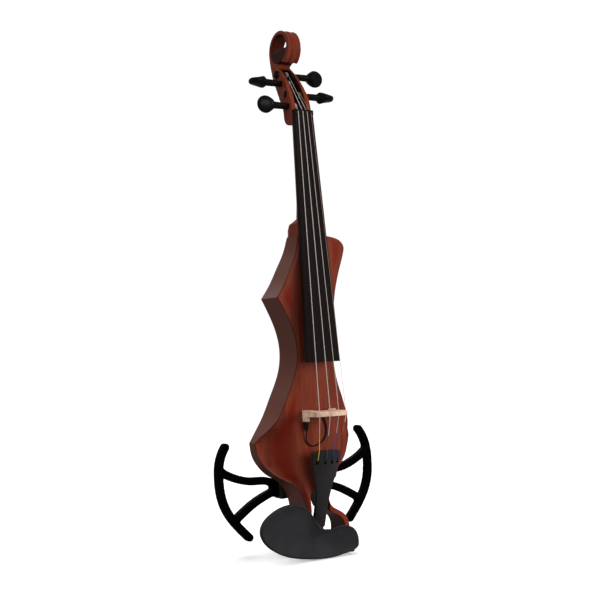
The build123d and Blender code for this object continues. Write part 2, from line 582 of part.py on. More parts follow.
for sign, label in ((-1, "bass"), (1, "treble")):
    x = sign * CLAMP_X
    x0, x1 = x - POST_HALF, x + POST_HALF
    chin_plate += block(x0, x1, CHIN_BACK_Y - 1, -CORK, 2, TAIL_BOTTOM + TAIL_BAR - 1)
    corks.append(block(x0, x1, -CORK, 0, TAIL_BOTTOM, TAIL_BOTTOM + TAIL_BAR - 1))
    corks.append(block(x0, x1, BODY_DEPTH, clamp_back, TAIL_BOTTOM, TAIL_BOTTOM + TAIL_BAR - 1))
    clamp += block(x0, x1, clamp_back, clamp_back + 2.5, 2, TAIL_BOTTOM + TAIL_BAR - 1)
    clamp += rod(CLAMP_ROD_R, (x, clamp_back, ROD_Z), (x, 23, ROD_Z))
    chin_studs.append(rod(CLAMP_ROD_R, (x, -6, ROD_Z), (x, 13, ROD_Z)))
    chin_plate -= rod(CLAMP_ROD_R, (x, -6, ROD_Z), (x, 13, ROD_Z))
    barrels[label] = rod(CLAMP_BARREL_R, (x, 4, ROD_Z), (x, 32, ROD_Z))
    barrels[label] -= rod(CLAMP_ROD_R + PEG_CLEARANCE, (x, 0, ROD_Z), (x, 36, ROD_Z))

# ---------------------------------------------------------------- shoulder wings on their bracket
WING_OUTER = [(87.0, 122.3), (95.0, 106.5), (97.2, 84.5), (94.2, 63.5), (84.6, 44.3), (75.0, 32.3),
              (66.0, 22.5)]
WING_UPPER = [(93.5, 96.5), (73.8, 86.0), (57.8, 81.8), (40.0, 79.8), (31.5, 75.5)]
WING_LOWER = [(84.5, 41.5), (71.0, 50.0), (57.0, 58.0), (42.0, 64.0), (31.5, 67.3)]
WING_FRONT_Y = BODY_DEPTH + WING_GAP
WING_BACK_Y = WING_FRONT_Y + WING_THICK
TONGUE_Y = BODY_DEPTH + BRACKET_WALL + SLIDE_CLEARANCE
HUB_INNER = BRACKET_HALF + 1.0
askew = Pos(0, 0, BRACKET_Z) * Rot(0, -WING_TILT, 0) * Pos(0, 0, -BRACKET_Z)


def wing(sign):
    """One shoulder wing: a bowed bar on two struts, a hub, and the tongue that slides in the bracket."""
    def place(points):
        return [(sign * x, z) for x, z in points]

    bars = [through(Plane.XZ * trace(Spline(*place(line)), WING_BAR), WING_FRONT_Y, WING_BACK_Y)
            for line in (WING_OUTER, WING_UPPER, WING_LOWER)]
    ends = [rod(WING_BAR / 2, (sign * x, WING_FRONT_Y, z), (sign * x, WING_BACK_Y, z))
            for x, z in (WING_OUTER[0], WING_OUTER[-1])]
    hub = through(front(Polyline(*place([(HUB_INNER, 60), (HUB_INNER, 80), (33, 82), (35.5, 72.5), (33, 61.5)]),
                                 close=True)), WING_FRONT_Y, WING_BACK_Y)
    inner, outer = sorted((sign * (HUB_INNER - TONGUE_LENGTH), sign * (HUB_INNER + 1)))
    tongue = block(inner, outer, TONGUE_Y, TONGUE_Y + TONGUE_THICK,
                   BRACKET_Z - TONGUE_HEIGHT / 2, BRACKET_Z + TONGUE_HEIGHT / 2)
    return askew * (bars[0] + bars[1] + bars[2] + ends[0] + ends[1] + hub + tongue)


slot_half = TONGUE_HEIGHT / 2 + SLIDE_CLEARANCE
bracket_back = TONGUE_Y + TONGUE_THICK + SLIDE_CLEARANCE + BRACKET_WALL
bracket = block(-BRACKET_HALF, BRACKET_HALF, BODY_DEPTH, bracket_back,
                BRACKET_Z - BRACKET_HEIGHT / 2, BRACKET_Z + BRACKET_HEIGHT / 2)
bracket -= block(-40, 40, BODY_DEPTH + BRACKET_WALL, bracket_back - BRACKET_WALL,
                 BRACKET_Z - slot_half, BRACKET_Z + slot_half)
bracket -= block(-7, 7, BODY_DEPTH + BRACKET_WALL, 60, BRACKET_Z - slot_half, BRACKET_Z + slot_half)
thumb_screws, plate_screws = {}, []
for sign, label in ((-1, "bass"), (1, "treble")):
    x = sign * THUMB_X
    bracket -= rod(THUMB_R + PEG_CLEARANCE, (x, bracket_back - BRACKET_WALL - 1, BRACKET_Z), (x, 60, BRACKET_Z))
    screw = rod(THUMB_R, (x, TONGUE_Y + TONGUE_THICK + 0.1, BRACKET_Z), (x, bracket_back + 2, BRACKET_Z))
    screw += rod(THUMB_HEAD_R, (x, bracket_back + 0.3, BRACKET_Z), (x, bracket_back + 5.3, BRACKET_Z))
    thumb_screws[label] = askew * screw
for z_off in (-4.5, 4.5):
    at = (0, BODY_DEPTH + BRACKET_WALL, BRACKET_Z + z_off)
    screw = spun([(0, -14), (1.4, -14), (1.4, -1.6), (2.9, 0), (0, 0)], at, (0, 1, 0))
    plate_screws.append(askew * screw)
bracket = askew * bracket

# ---------------------------------------------------------------- routed electronics
chamber_rebate = CHAMBER_HALF + COVER_LEDGE
channel_rebate = CHANNEL_HALF + COVER_LEDGE
cover_y = BODY_DEPTH - COVER_THICK
body_core -= block(-CHAMBER_HALF, CHAMBER_HALF, ROUT_FRONT_Y, BODY_DEPTH + 1, CHAMBER_BOTTOM, CHAMBER_TOP)
body_core -= block(-CHANNEL_HALF, CHANNEL_HALF, ROUT_FRONT_Y, BODY_DEPTH + 1, CHANNEL_BOTTOM, CHANNEL_TOP)
body_core -= block(-chamber_rebate, chamber_rebate, cover_y, BODY_DEPTH + 1,
                   CHAMBER_BOTTOM - COVER_LEDGE, CHAMBER_TOP + COVER_LEDGE)
body_core -= block(-channel_rebate, channel_rebate, cover_y, BODY_DEPTH + 1,
                   CHANNEL_BOTTOM - COVER_LEDGE, CHANNEL_TOP + COVER_LEDGE)
body_core -= rod(3, (WIRE_X, WIRE_Y, CHAMBER_TOP - 2), (WIRE_X, WIRE_Y, CHANNEL_BOTTOM + 2))

back_cover = block(-channel_rebate + COVER_GAP, channel_rebate - COVER_GAP, cover_y, BODY_DEPTH,
                   CHANNEL_BOTTOM - COVER_LEDGE + COVER_GAP, CHANNEL_TOP + COVER_LEDGE - COVER_GAP)
cover_screws = []
screw_x = CHANNEL_HALF + 1.6
for x in (-screw_x, screw_x):
    for z in (CHANNEL_BOTTOM, (CHANNEL_BOTTOM + CHANNEL_TOP) / 2, CHANNEL_TOP):
        screw = spun([(0, -9), (0.9, -9), (0.9, -1.2), (1.8, 0), (0, 0)], (x, BODY_DEPTH, z), (0, 1, 0))
        cover_screws.append(screw)
        back_cover -= screw
        body_core -= screw



def socket(z, bore, barrel, flange):
    """A jack socket in the treble flank, its bore blind and its flange let into the wood."""
    body = rod(barrel, (SEAT_X - SOCKET_DEPTH, JACK_Y, z), (SEAT_X, JACK_Y, z))
    body += rod(flange, (SEAT_X, JACK_Y, z), (SEAT_X + 2, JACK_Y, z))
    seat = rod(flange, (SEAT_X, JACK_Y, z), (SEAT_X + 20, JACK_Y, z))
    seat += rod(barrel, (CHANNEL_HALF - 1, JACK_Y, z), (SEAT_X + 1, JACK_Y, z))
    return body - rod(bore, (SEAT_X - SOCKET_DEPTH + 3, JACK_Y, z), (SEAT_X + 9, JACK_Y, z)), seat


output_jack, jack_seat = socket(JACK_Z, JACK_R, 5.5, 7.0)
phones_jack, phones_seat = socket(PHONES_Z, PHONES_R, 3.6, 5.0)
body_core = body_core - jack_seat - phones_seat

pots, knobs = [], []
for z in POT_ZS:
    pot = rod(POT_R, (0, 24, z), (0, cover_y - 1, z)) - rod(POT_SHAFT_R + PEG_CLEARANCE, (0, 27, z), (0, 50, z))
    pots.append(pot)
    shaft_hole = rod(POT_SHAFT_R + 0.4, (0, cover_y - 2, z), (0, 50, z))
    back_cover -= shaft_hole
    knob = rod(POT_SHAFT_R, (0, 27.5, z), (0, BODY_DEPTH + 3, z))
    knob += rod(KNOB_R, (0, BODY_DEPTH + 0.5, z), (0, BODY_DEPTH + 0.5 + KNOB_HEIGHT, z))
    knobs.append(knob)

HINGE_Y = BODY_DEPTH - COVER_THICK / 2
HINGE_Z = CHAMBER_TOP + COVER_LEDGE - COVER_GAP - COVER_THICK / 2
door_half = chamber_rebate - COVER_GAP
battery_door = block(-door_half, door_half, cover_y, BODY_DEPTH,
                     CHAMBER_BOTTOM - COVER_LEDGE + COVER_GAP, HINGE_Z)
battery_door += rod(COVER_THICK / 2, (-door_half, HINGE_Y, HINGE_Z), (door_half, HINGE_Y, HINGE_Z))
door_pins = []
for sign in (-1, 1):
    pin = rod(PIN_R, (sign * (door_half - 6), HINGE_Y, HINGE_Z), (sign * (door_half + 4), HINGE_Y, HINGE_Z))
    door_pins.append(pin)
    body_core -= pin
    battery_door -= rod(PIN_R + PEG_CLEARANCE, (sign * (door_half - 6.5), HINGE_Y, HINGE_Z),
                        (sign * (door_half + 1), HINGE_Y, HINGE_Z))

tall, deep, wide = BATTERY
BATTERY_Z = CHAMBER_BOTTOM + BATTERY_GAP
battery = block(-wide / 2, wide / 2 - TERMINAL, ROUT_FRONT_Y, ROUT_FRONT_Y + deep, BATTERY_Z, BATTERY_Z + tall)
for z in (BATTERY_Z + 7, BATTERY_Z + tall - 7):
    foot = (wide / 2 - TERMINAL, ROUT_FRONT_Y + deep / 2, z)
    battery += rod(TERMINAL_R, foot, (wide / 2, ROUT_FRONT_Y + deep / 2, z))
battery_snap = block(wide / 2, wide / 2 + 3, ROUT_FRONT_Y + 2.5, ROUT_FRONT_Y + deep - 2.5,
                     BATTERY_Z + 1, BATTERY_Z + tall - 1)
board_y = ROUT_FRONT_Y + 2
preamp_board = block(-12, 12, board_y, board_y + 1.6, *BOARD_Z)
for x in (-9, 9):
    for z in (BOARD_Z[0] + 3, BOARD_Z[1] - 3):
        preamp_board += rod(1.5, (x, ROUT_FRONT_Y, z), (x, board_y, z))
preamp_board += block(-6, 4, board_y + 1.6, board_y + 4.6, 168, 176)
preamp_board += block(-8, -3, board_y + 1.6, board_y + 7.6, 182, 188)
lead_path = FilletPolyline(
    (wide / 2 + 1.5, WIRE_Y, BATTERY_Z + tall - 1), (wide / 2 + 1.5, WIRE_Y, 129), (WIRE_X, WIRE_Y, 137),
    (WIRE_X, WIRE_Y, BOARD_Z[0]), radius=3)
battery_lead = sweep(Plane(origin=lead_path @ 0, z_dir=lead_path % 0) * Circle(LEAD_R), path=lead_path)

# holes left in the wood by what is screwed or pressed into it
for screw in plate_screws:
    body_core -= screw
    bracket -= screw
body_core = body_core - end_button - saddle

# ---------------------------------------------------------------- pickup cable
def limp_path(points, diameter):
    """Straight runs joined by the widest arcs that they leave room for; prints each arc's radius."""
    corners = [Vector(*p) for p in points]
    radii = []
    for before, here, after in zip(corners, corners[1:], corners[2:]):
        turn = math.radians((here - before).get_angle(after - here))
        run = min((here - before).length, (after - here).length)
        radii.append(0.45 * run / math.tan(turn / 2))
    print("cable radii", [round(r, 1) for r in radii], "diameters", round(min(radii) / diameter, 1))
    return FilletPolyline(*points, radius=radii)


cable_path = limp_path(CABLE_ROUTE, 2 * CABLE_R)
pickup_cable = sweep(Plane(origin=cable_path @ 0, z_dir=cable_path % 0) * Circle(CABLE_R), path=cable_path)
print("cable length", round(cable_path.length, 1), "volume", round(pickup_cable.volume, 1),
      "section times length", round(math.pi * CABLE_R ** 2 * cable_path.length, 1))

sleeve_dir = (string_route(3)[2] - string_route(3)[3]).normalized()
sleeve_start = string_route(3)[3] + sleeve_dir * (BRIDGE_TOP_THICK / 2 + 1)
sleeve_end = sleeve_start + sleeve_dir * SLEEVE_LENGTH
sleeve_r = STRING_DIAMETERS[3] / 2
string_sleeve = rod(sleeve_r + SLEEVE_WALL, sleeve_start, sleeve_end) - rod(sleeve_r, sleeve_start, sleeve_end)

# ---------------------------------------------------------------- nodes
save("body_core", body_core)
save("top_plate", top_plate)
save("neck_scroll", neck_scroll)
save("fingerboard", fingerboard)
save("nut", nut)
save("bridge", bridge)
save("pickup_block", pickup_block)
save("pickup_plug", pickup_plug)
save("pickup_cable", pickup_cable)
save("cable_boot", cable_boot)
save("tailpiece", tailpiece)
save("tail_cord", tail_cord)
save("tail_saddle", saddle)
save("end_button", end_button)
save("string_sleeve", string_sleeve)
save("string_balls", *balls)
for name in STRING_NAMES:
    save(f"string_{name}", strings[name])
    save(f"peg_{name}", pegs[name])
    save(f"winding_{name}", windings[name])
save("chin_plate", chin_plate)
save("chin_studs", *chin_studs)
save("chin_corks", *corks)
save("chin_clamp", clamp)
for label in ("bass", "treble"):
    sign = -1 if label == "bass" else 1
    save(f"clamp_barrel_{label}", barrels[label])
    save(f"wing_{label}", wing(sign))
    save(f"wing_screw_{label}", thumb_screws[label])
save("wing_bracket", bracket)
save("bracket_screws", *plate_screws)
save("back_cover", back_cover)
save("cover_screws", *cover_screws)
save("battery_door", battery_door)
save("door_pins", *door_pins)
save("battery", battery)
save("battery_snap", battery_snap)
save("battery_lead", battery_lead)
save("preamp_board", preamp_board)
save("output_jack", output_jack)
save("phones_jack", phones_jack)
for pot, knob, label in zip(pots, knobs, ("tone", "volume")):
    save(f"{label}_pot", pot)
    save(f"{label}_knob", knob)
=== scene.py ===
"""Electric violin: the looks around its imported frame.

Shapes are worked out in millimetres in the maker's axes, X towards the treble side, Y from the table plane
to the back and Z up from the lowest edge of the chin rest, and put into the frame by metres().
"""
import math

import bmesh
import bpy
import numpy as np
from mathutils import Matrix, Vector


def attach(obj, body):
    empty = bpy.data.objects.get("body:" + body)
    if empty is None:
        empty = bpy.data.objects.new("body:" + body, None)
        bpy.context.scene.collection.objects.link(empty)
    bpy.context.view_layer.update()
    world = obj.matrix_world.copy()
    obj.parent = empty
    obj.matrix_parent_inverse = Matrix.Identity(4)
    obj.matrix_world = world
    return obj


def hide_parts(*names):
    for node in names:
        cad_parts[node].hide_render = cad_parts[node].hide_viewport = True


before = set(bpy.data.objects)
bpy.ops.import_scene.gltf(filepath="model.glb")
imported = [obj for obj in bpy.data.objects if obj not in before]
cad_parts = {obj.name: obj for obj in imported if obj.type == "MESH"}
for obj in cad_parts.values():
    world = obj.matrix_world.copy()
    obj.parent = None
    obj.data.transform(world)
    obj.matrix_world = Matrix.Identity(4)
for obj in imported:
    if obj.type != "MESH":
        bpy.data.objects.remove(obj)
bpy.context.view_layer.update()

# ---------------------------------------------------------------- driving sizes, in millimetres
HANGER = np.array((0.0, 15.0, 450.5))     # the frame's origin in the maker's axes
NUT_Z = 475.5
BRIDGE_Z = 150.5
BODY_TOP = 342.0
BODY_DEPTH = 38.0
TAIL_BOTTOM = 9.0
TAIL_BAR = 10.0
SADDLE_Y = 14.0
BOARD_LENGTH = 270.0
BOARD_HALF = (12.0, 21.0)                 # the fingerboard's half width at the nut and at its end
BOARD_TOP = (2.8, -20.6)                  # the depth of its crown at the nut and at its end
BOARD_UNDER = (9.5, -10.0)                # and of its underside
BOARD_ARCH = 42.0
BOARD_ROUND = 0.7                         # the rounding of its long edges
BOARD_CHAMFER = 0.4
BRIDGE_TOP = -31.9                        # the depth of the bridge's crown
BRIDGE_ARCH = 41.0
NUT_TOP = 2.2
RING_CENTRE = (38.7, NUT_Z + 79.5)        # depth and height of the middle of the scroll's ring
RING_BORE = (15.8, 17.2)                  # where the painted shade inside the ring is full, and where it ends
PEGBOX_RAKE = 0.545                       # the pegbox falls back by this for each millimetre up
PEG_R = 3.5
ROOT = "violin"


def metres(points):
    """Points in the maker's axes as points of the frame: less the hanger's place, over a thousand."""
    return (np.asarray(points, float) - HANGER) / 1000.0


def lerp(a, b, t):
    """A value a share t of the way from a to b: a plus the difference times t."""
    return a + (b - a) * t


def ease(t):
    """Smooth step: t squared times three less two t, held to 0 below 0 and to 1 above 1."""
    t = np.clip(t, 0.0, 1.0)
    return t * t * (3.0 - 2.0 * t)


def curve(points, count, closed=False):
    """Cubic pieces through points, with the chord length as parameter and no bend at the ends."""
    p = np.asarray(points, float)
    pad = 4                 # a closed line is lengthened by this many points at each end
    if closed:
        p = np.vstack([p[-pad:], p, p[:pad + 1]])
    t = np.concatenate([[0.0], np.cumsum(np.linalg.norm(np.diff(p, axis=0), axis=1))])
    h, n = np.diff(t), len(p)
    system, right = np.eye(n), np.zeros_like(p)
    k = np.arange(1, n - 1)
    system[k, k - 1], system[k, k], system[k, k + 1] = h[:-1], 2 * (h[:-1] + h[1:]), h[1:]
    right[1:-1] = 6 * (np.diff(p, axis=0)[1:] / h[1:, None] - np.diff(p, axis=0)[:-1] / h[:-1, None])
    bend = np.linalg.solve(system, right)
    start, stop = (t[pad], t[-pad - 1]) if closed else (t[0], t[-1])
    at = np.linspace(start, stop, count, endpoint=not closed)
    i = np.clip(np.searchsorted(t, at, side="right") - 1, 0, n - 2)
    a, b, w = (t[i + 1] - at)[:, None], (at - t[i])[:, None], h[i][:, None]
    return ((bend[i] * a ** 3 + bend[i + 1] * b ** 3) / (6 * w)
            + (p[i] / w - bend[i] * w / 6) * a + (p[i + 1] / w - bend[i + 1] * w / 6) * b)


# ---------------------------------------------------------------- meshes from surfaces
class Shell:
    """Gathers surfaces, each a grid of points, into the mesh of one piece."""

    def __init__(self):
        self.points, self.faces, self.marks, self.total = [], [], {}, 0

    def add(self, grid, wrap=True, capped=True, **marks):
        """A grid of rows of points: quads between neighbours, wrapped along each row, with end caps."""
        grid = np.asarray(grid, float)
        rows, cols = grid.shape[:2]
        number = np.arange(rows * cols).reshape(rows, cols) + self.total
        across = np.hstack([number, number[:, :1]]) if wrap else number
        quads = np.stack([across[:-1, :-1], across[:-1, 1:], across[1:, 1:], across[1:, :-1]], -1)
        self.faces += quads.reshape(-1, 4).tolist()
        if capped:
            self.faces += [number[0].tolist(), number[-1][::-1].tolist()]
        self.points.append(grid.reshape(-1, 3))
        for name, values in marks.items():
            values = np.broadcast_to(values, (rows, cols)).reshape(-1)
            self.marks.setdefault(name, []).append((self.total, values))
        self.total += rows * cols
        return self

    def mesh(self, name, sharp):
        """The mesh in the frame's metres, faces outwards, smooth but for edges over the sharp angle."""
        mesh = bpy.data.meshes.new(name)
        mesh.from_pydata(metres(np.vstack(self.points)), [], self.faces)
        for mark, parts in self.marks.items():
            values = np.zeros(self.total, np.float32)
            for start, part in parts:
                values[start:start + len(part)] = part
            mesh.attributes.new(mark, "FLOAT", "POINT").data.foreach_set("value", values)
        work = bmesh.new()
        work.from_mesh(mesh)
        bmesh.ops.remove_doubles(work, verts=work.verts, dist=1e-7)
        bmesh.ops.recalc_face_normals(work, faces=work.faces)
        work.to_mesh(mesh)
        work.free()
        mesh.shade_smooth()
        mesh.set_sharp_from_angle(angle=math.radians(sharp))
        return mesh

    def piece(self, name, finish, body=ROOT, stands_for=(), slot=None, sharp=38.0):
        """Makes the object, gives it its finish and lets it ride on its body."""
        piece = bpy.data.objects.new(name, self.mesh(name, sharp))
        return settled(piece, finish, body, stands_for)


def settled(piece, finish, body=ROOT, stands_for=()):
    """Links a piece, gives it its finish and body, and hides the frame's nodes that it stands for."""
    if piece.name not in bpy.context.scene.collection.objects:
        bpy.context.scene.collection.objects.link(piece)
    piece.data.materials.clear()
    piece.data.materials.append(finish)
    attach(piece, body)
    if stands_for:
        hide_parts(*stands_for)
    return piece


def applied(piece):
    """Replaces a piece's mesh with what its modifiers make of it."""
    bpy.context.view_layer.update()
    evaluated = piece.evaluated_get(bpy.context.evaluated_depsgraph_get())
    mesh = bpy.data.meshes.new_from_object(evaluated)
    piece.modifiers.clear()
    piece.data = mesh
    return piece


def copy_of(node, name):
    """A loose copy of a frame node with its split triangles merged."""
    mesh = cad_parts[node].data.copy()
    mesh.name = name
    work = bmesh.new()
    work.from_mesh(mesh)
    bmesh.ops.remove_doubles(work, verts=work.verts, dist=2e-6)
    work.to_mesh(mesh)
    work.free()
    piece = bpy.data.objects.new(name, mesh)
    bpy.context.scene.collection.objects.link(piece)
    return piece


def carved(node, name, finish, body, cell, rounds, shape=None):
    """A node remade as carved or moulded stock: its solid in cells of one size, every corner worn round
    by averaging each point with its neighbours, and bent afterwards by a shape function if it has one."""
    piece = copy_of(node, name)
    remesh = piece.modifiers.new("cells", "REMESH")
    remesh.mode, remesh.voxel_size, remesh.adaptivity = "VOXEL", cell / 1000.0, 0.0
    smooth = piece.modifiers.new("worn", "SMOOTH")
    smooth.factor, smooth.iterations = 0.5, rounds
    applied(piece)
    if shape:
        points = np.zeros(len(piece.data.vertices) * 3)
        piece.data.vertices.foreach_get("co", points)
        points = points.reshape(-1, 3) * 1000.0 + HANGER
        piece.data.vertices.foreach_set("co", metres(shape(points)).ravel())
    piece.data.shade_smooth()
    return settled(piece, finish, body, (node,))


def eased(node, name, finish, body, width, sharp=32.0):
    """A node with every hard edge eased by a narrow two-step bevel, and its curved faces shaded smooth."""
    piece = copy_of(node, name)
    work = bmesh.new()
    work.from_mesh(piece.data)
    bmesh.ops.dissolve_limit(work, angle_limit=math.radians(1.0), verts=work.verts, edges=work.edges)
    hard = [e for e in work.edges if e.is_manifold and e.calc_face_angle(0.0) > math.radians(sharp)]
    bmesh.ops.bevel(work, geom=hard, offset=width / 1000.0, offset_type="OFFSET", segments=2, profile=0.6,
                    affect="EDGES", clamp_overlap=True)
    work.to_mesh(piece.data)
    work.free()
    piece.data.shade_smooth()
    piece.data.set_sharp_from_angle(angle=math.radians(sharp))
    return settled(piece, finish, body, (node,))


# ---------------------------------------------------------------- finishes
class Value:
    """A number in a finish. Sums and products of values add their Math nodes."""

    def __init__(self, finish, socket):
        self.finish, self.socket = finish, socket

    def math(self, operation, *others):
        """Any Math node, with this value first."""
        node = self.finish.node("Math", {"operation": operation}, *((self,) + others))
        return Value(self.finish, node.outputs[0])

    def __add__(self, other):
        return self.math("ADD", other)

    def __sub__(self, other):
        return self.math("SUBTRACT", other)

    def __rsub__(self, other):
        return (self * -1.0) + other

    def __mul__(self, other):
        return self.math("MULTIPLY", other)

    def __abs__(self):
        return self.math("ABSOLUTE")

    __radd__, __rmul__ = __add__, __mul__

    def rise(self, low, high):
        """0 below low, 1 above high, a smooth step between. With low over high it falls."""
        node = self.finish.node("MapRange", {"interpolation_type": "SMOOTHSTEP"}, self, low, high, 0.0, 1.0)
        return Value(self.finish, node.outputs[0])


def srgb(code):
    """A colour from its screen code, such as 8a4c3b, as linear light."""
    levels = [int(code[i:i + 2], 16) / 255.0 for i in (0, 2, 4)]
    return tuple(v / 12.92 if v <= 0.04045 else ((v + 0.055) / 1.055) ** 2.4 for v in levels) + (1.0,)


class Finish:
    """One material: fixed numbers on the shader, and patterns worked out from the piece's own place."""

    def __init__(self, name, **fixed):
        self.material = bpy.data.materials.new(name)
        self.material.use_nodes = True
        self.tree = self.material.node_tree
        self.shader = self.tree.nodes["Principled BSDF"]
        for socket, value in fixed.items():
            self.shader.inputs[socket.replace("_", " ").title().replace("Ior", "IOR")].default_value = value
        place = self.node("TexCoord", {}).outputs["Object"]
        self.place = self.node("Mapping", {}, place, (0, 0, 0), (0, 0, 0), (1000, 1000, 1000)).outputs[0]
        split = self.node("SeparateXYZ", {}, self.place).outputs
        self.x, self.y, self.z = (Value(self, split[i]) for i in range(3))

    def node(self, kind, settings, *values):
        """Any node: its type, its settings, and the values or links of its sockets in order."""
        made = self.tree.nodes.new("ShaderNode" + kind)
        for key, value in settings.items():
            setattr(made, key, value)
        for socket, value in zip(made.inputs, values):
            if value is not None:
                self.put(socket, value)
        return made

    def put(self, socket, value):
        """Links a value or an output to a socket, or sets the socket to a number or colour."""
        source = value.socket if isinstance(value, Value) else value
        if isinstance(source, bpy.types.NodeSocket):
            self.tree.links.new(source, socket)
        else:
            socket.default_value = source

    def stretched(self, stretch):
        """The place, in millimetres, divided by a stretch along each axis."""
        scale = tuple(1.0 / s for s in stretch)
        return self.node("Mapping", {}, self.place, (0, 0, 0), (0, 0, 0), scale).outputs[0]

    def noise(self, stretch, detail=3.0, rough=0.55):
        """Cloudy values round a half, with blobs of the stretch's size in millimetres."""
        made = self.node("TexNoise", {}, self.stretched(stretch), None, 1.0, detail, rough)
        return Value(self, made.outputs[0])

    def mark(self, name):
        """A value that the mesh carries at its points."""
        return Value(self, self.node("Attribute", {"attribute_name": name}).outputs["Fac"])

    def mix(self, first, second, share):
        """Colour first turning to colour second by a share."""
        made = self.node("Mix", {"data_type": "RGBA"})
        for name, value in (("Factor_Float", share), ("A_Color", first), ("B_Color", second)):
            self.put(next(s for s in made.inputs if s.identifier == name), value)
        return next(s for s in made.outputs if s.identifier == "Result_Color")

    def feed(self, **sources):
        """Links patterns to the shader's Base Color, Roughness, Metallic or Coat Weight."""
        for name, source in sources.items():
            self.put(self.shader.inputs[name.replace("_", " ").title()], source)
        return self

    def relief(self, height, depth):
        """A bump of a depth in millimetres from a height value."""
        bump = self.node("Bump", {}, 1.0, depth / 1000.0)
        self.tree.links.new(height.socket, bump.inputs["Height"])
        self.tree.links.new(bump.outputs[0], self.shader.inputs["Normal"])
        return self


def varnished_wood(name, carved_front=False, hollow_shade=False):
    """Red-brown varnish on flamed maple: broad flames, fine grain down the wood, a soft gloss. A carved front
    has painted shade, a deeper red, down the steep band of its fall, a painted greyish-brown sheen down its
    sides and is dark at its seam; painted shade darkens the inside of the ring, by the distance squared from
    its middle, and of the pegbox, by a box that rakes back with it."""
    f = Finish(name, coat_weight=0.10, coat_roughness=0.20, specular_ior_level=0.22)
    flame = f.noise((9.0, 30.0, 42.0), 2.0)
    streak = f.noise((1.4, 6.0, 70.0), 3.0)
    grain = f.noise((0.55, 3.0, 60.0), 4.0, 0.6)
    tone = (flame * 0.6 + streak * 0.4).rise(0.34, 0.68)
    colour = f.mix(srgb("67281a"), srgb("7a3623"), tone)
    colour = f.mix(colour, srgb("4c160a"), grain.rise(0.52, 0.72) * 0.3)
    if carved_front:
        valley, side, seam = f.mark("valley"), f.mark("side"), f.mark("seam")
        # painted shade: the steep band of the carved fall in a deeper, darker red
        colour = f.mix(colour, srgb("6e1606"), valley.rise(0.2, 0.9) * 0.8)
        # painted sheen: the flanks turned greyish brown, as soft light glances off them
        colour = f.mix(colour, srgb("5c3a31"), side.rise(0.3, 0.7) * 0.8)
        colour = f.mix(colour, srgb("1c0a07"), seam.rise(0.35, 0.75) * 0.85)
    # painted shade inside the scroll's ring and down the pegbox
    if hollow_shade:
        up = f.z - (RING_CENTRE[1] - HANGER[2])
        deep = f.y - (RING_CENTRE[0] - HANGER[1])
        ring = (up * up + deep * deep).rise(RING_BORE[1] ** 2, RING_BORE[0] ** 2)
        above_nut = f.z - (NUT_Z - HANGER[2])
        box = abs(f.x).rise(7.6, 6.7) * above_nut.rise(4.0, 9.0) * above_nut.rise(60.0, 56.0)
        box = box * (f.y - above_nut * PEGBOX_RAKE).rise(8.4, 6.0)
        colour = f.mix(colour, srgb("160705"), ring.math("MAXIMUM", box) * 0.9)
    f.feed(base_color=colour, roughness=0.34 + f.noise((18.0, 18.0, 40.0)) * 0.16)
    return f.relief(grain + streak * 0.6, 0.035).material


def ebony(name, light, gloss):
    """Black hardwood: near black with faint brown pores drawn out along the grain."""
    f = Finish(name, specular_ior_level=0.28)
    pore = f.noise((0.35, 0.5, 9.0), 4.0, 0.65)
    cloud = f.noise((6.0, 6.0, 60.0), 2.0)
    colour = f.mix(srgb(light), srgb("0a0807"), pore.rise(0.45, 0.70))
    f.feed(base_color=colour, roughness=gloss + cloud * 0.12 + pore * 0.08)
    return f.relief(1.0 - pore.rise(0.55, 0.75), 0.02).material


def moulded(name, colour, gloss, pebble=0.9, depth=0.012, sheen=0.5):
    """Moulded black plastic: an even colour, faint flow clouds and a fine pebbled skin."""
    f = Finish(name, specular_ior_level=sheen)
    cloud = f.noise((22.0, 22.0, 22.0), 2.0)
    skin = f.noise((pebble, pebble, pebble), 3.0)
    base = srgb(colour)
    lighter = tuple(v * 1.35 for v in base[:3]) + (1.0,)
    f.feed(base_color=f.mix(base, lighter, cloud.rise(0.35, 0.7)), roughness=gloss + skin * 0.10)
    return f.relief(skin, depth).material


def metal(name, colour, gloss):
    """Plated metal with fine brushing and slight tarnish."""
    f = Finish(name, metallic=1.0)
    lines = f.noise((0.4, 0.4, 0.4), 3.0)
    dull = f.noise((7.0, 7.0, 7.0), 2.0)
    base = srgb(colour)
    darker = tuple(v * 0.72 for v in base[:3]) + (1.0,)
    f.feed(base_color=f.mix(base, darker, dull.rise(0.45, 0.75)), roughness=gloss + lines * 0.12)
    return f.relief(lines, 0.006).material


def maple(name):
    """Bare bridge maple: pale, with short darker flecks and a faint blush."""
    f = Finish(name, specular_ior_level=0.35)
    fleck = f.noise((1.6, 0.35, 0.5), 3.0)
    blush = f.noise((9.0, 9.0, 9.0), 2.0)
    colour = f.mix(srgb("e2c3ae"), srgb("c99e84"), blush.rise(0.35, 0.7))
    colour = f.mix(colour, srgb("9a6a4f"), fleck.rise(0.58, 0.72) * 0.6)
    f.feed(base_color=colour, roughness=0.45 + blush * 0.15)
    return f.relief(fleck, 0.03).material


def wire(name, light, silk_top, silk, second=None):
    """A wound string: fine turns of wire, and coloured silk below a height near the tailpiece, with a second
    silk, a height and a colour, below that."""
    f = Finish(name, specular_ior_level=0.5)
    height = f.z + HANGER[2]
    silk_share = height.rise(silk_top + 0.8, silk_top - 0.8)
    colour = f.mix(srgb(light), srgb(silk), silk_share)
    if second:
        colour = f.mix(colour, srgb(second[1]), height.rise(second[0] + 1.0, second[0] - 1.0))
    turns = Value(f, f.node("TexWave", {"wave_type": "BANDS", "bands_direction": "Z"},
                            f.stretched((1.0, 1.0, 0.9)), 1.0, 0.6, 1.0).outputs["Fac"])
    f.feed(base_color=f.mix(colour, srgb("8d8782"), turns.rise(0.7, 1.0) * 0.25),
           roughness=0.32 + silk_share * 0.4, metallic=0.35 - silk_share * 0.35)
    return f.relief(turns, 0.02).material


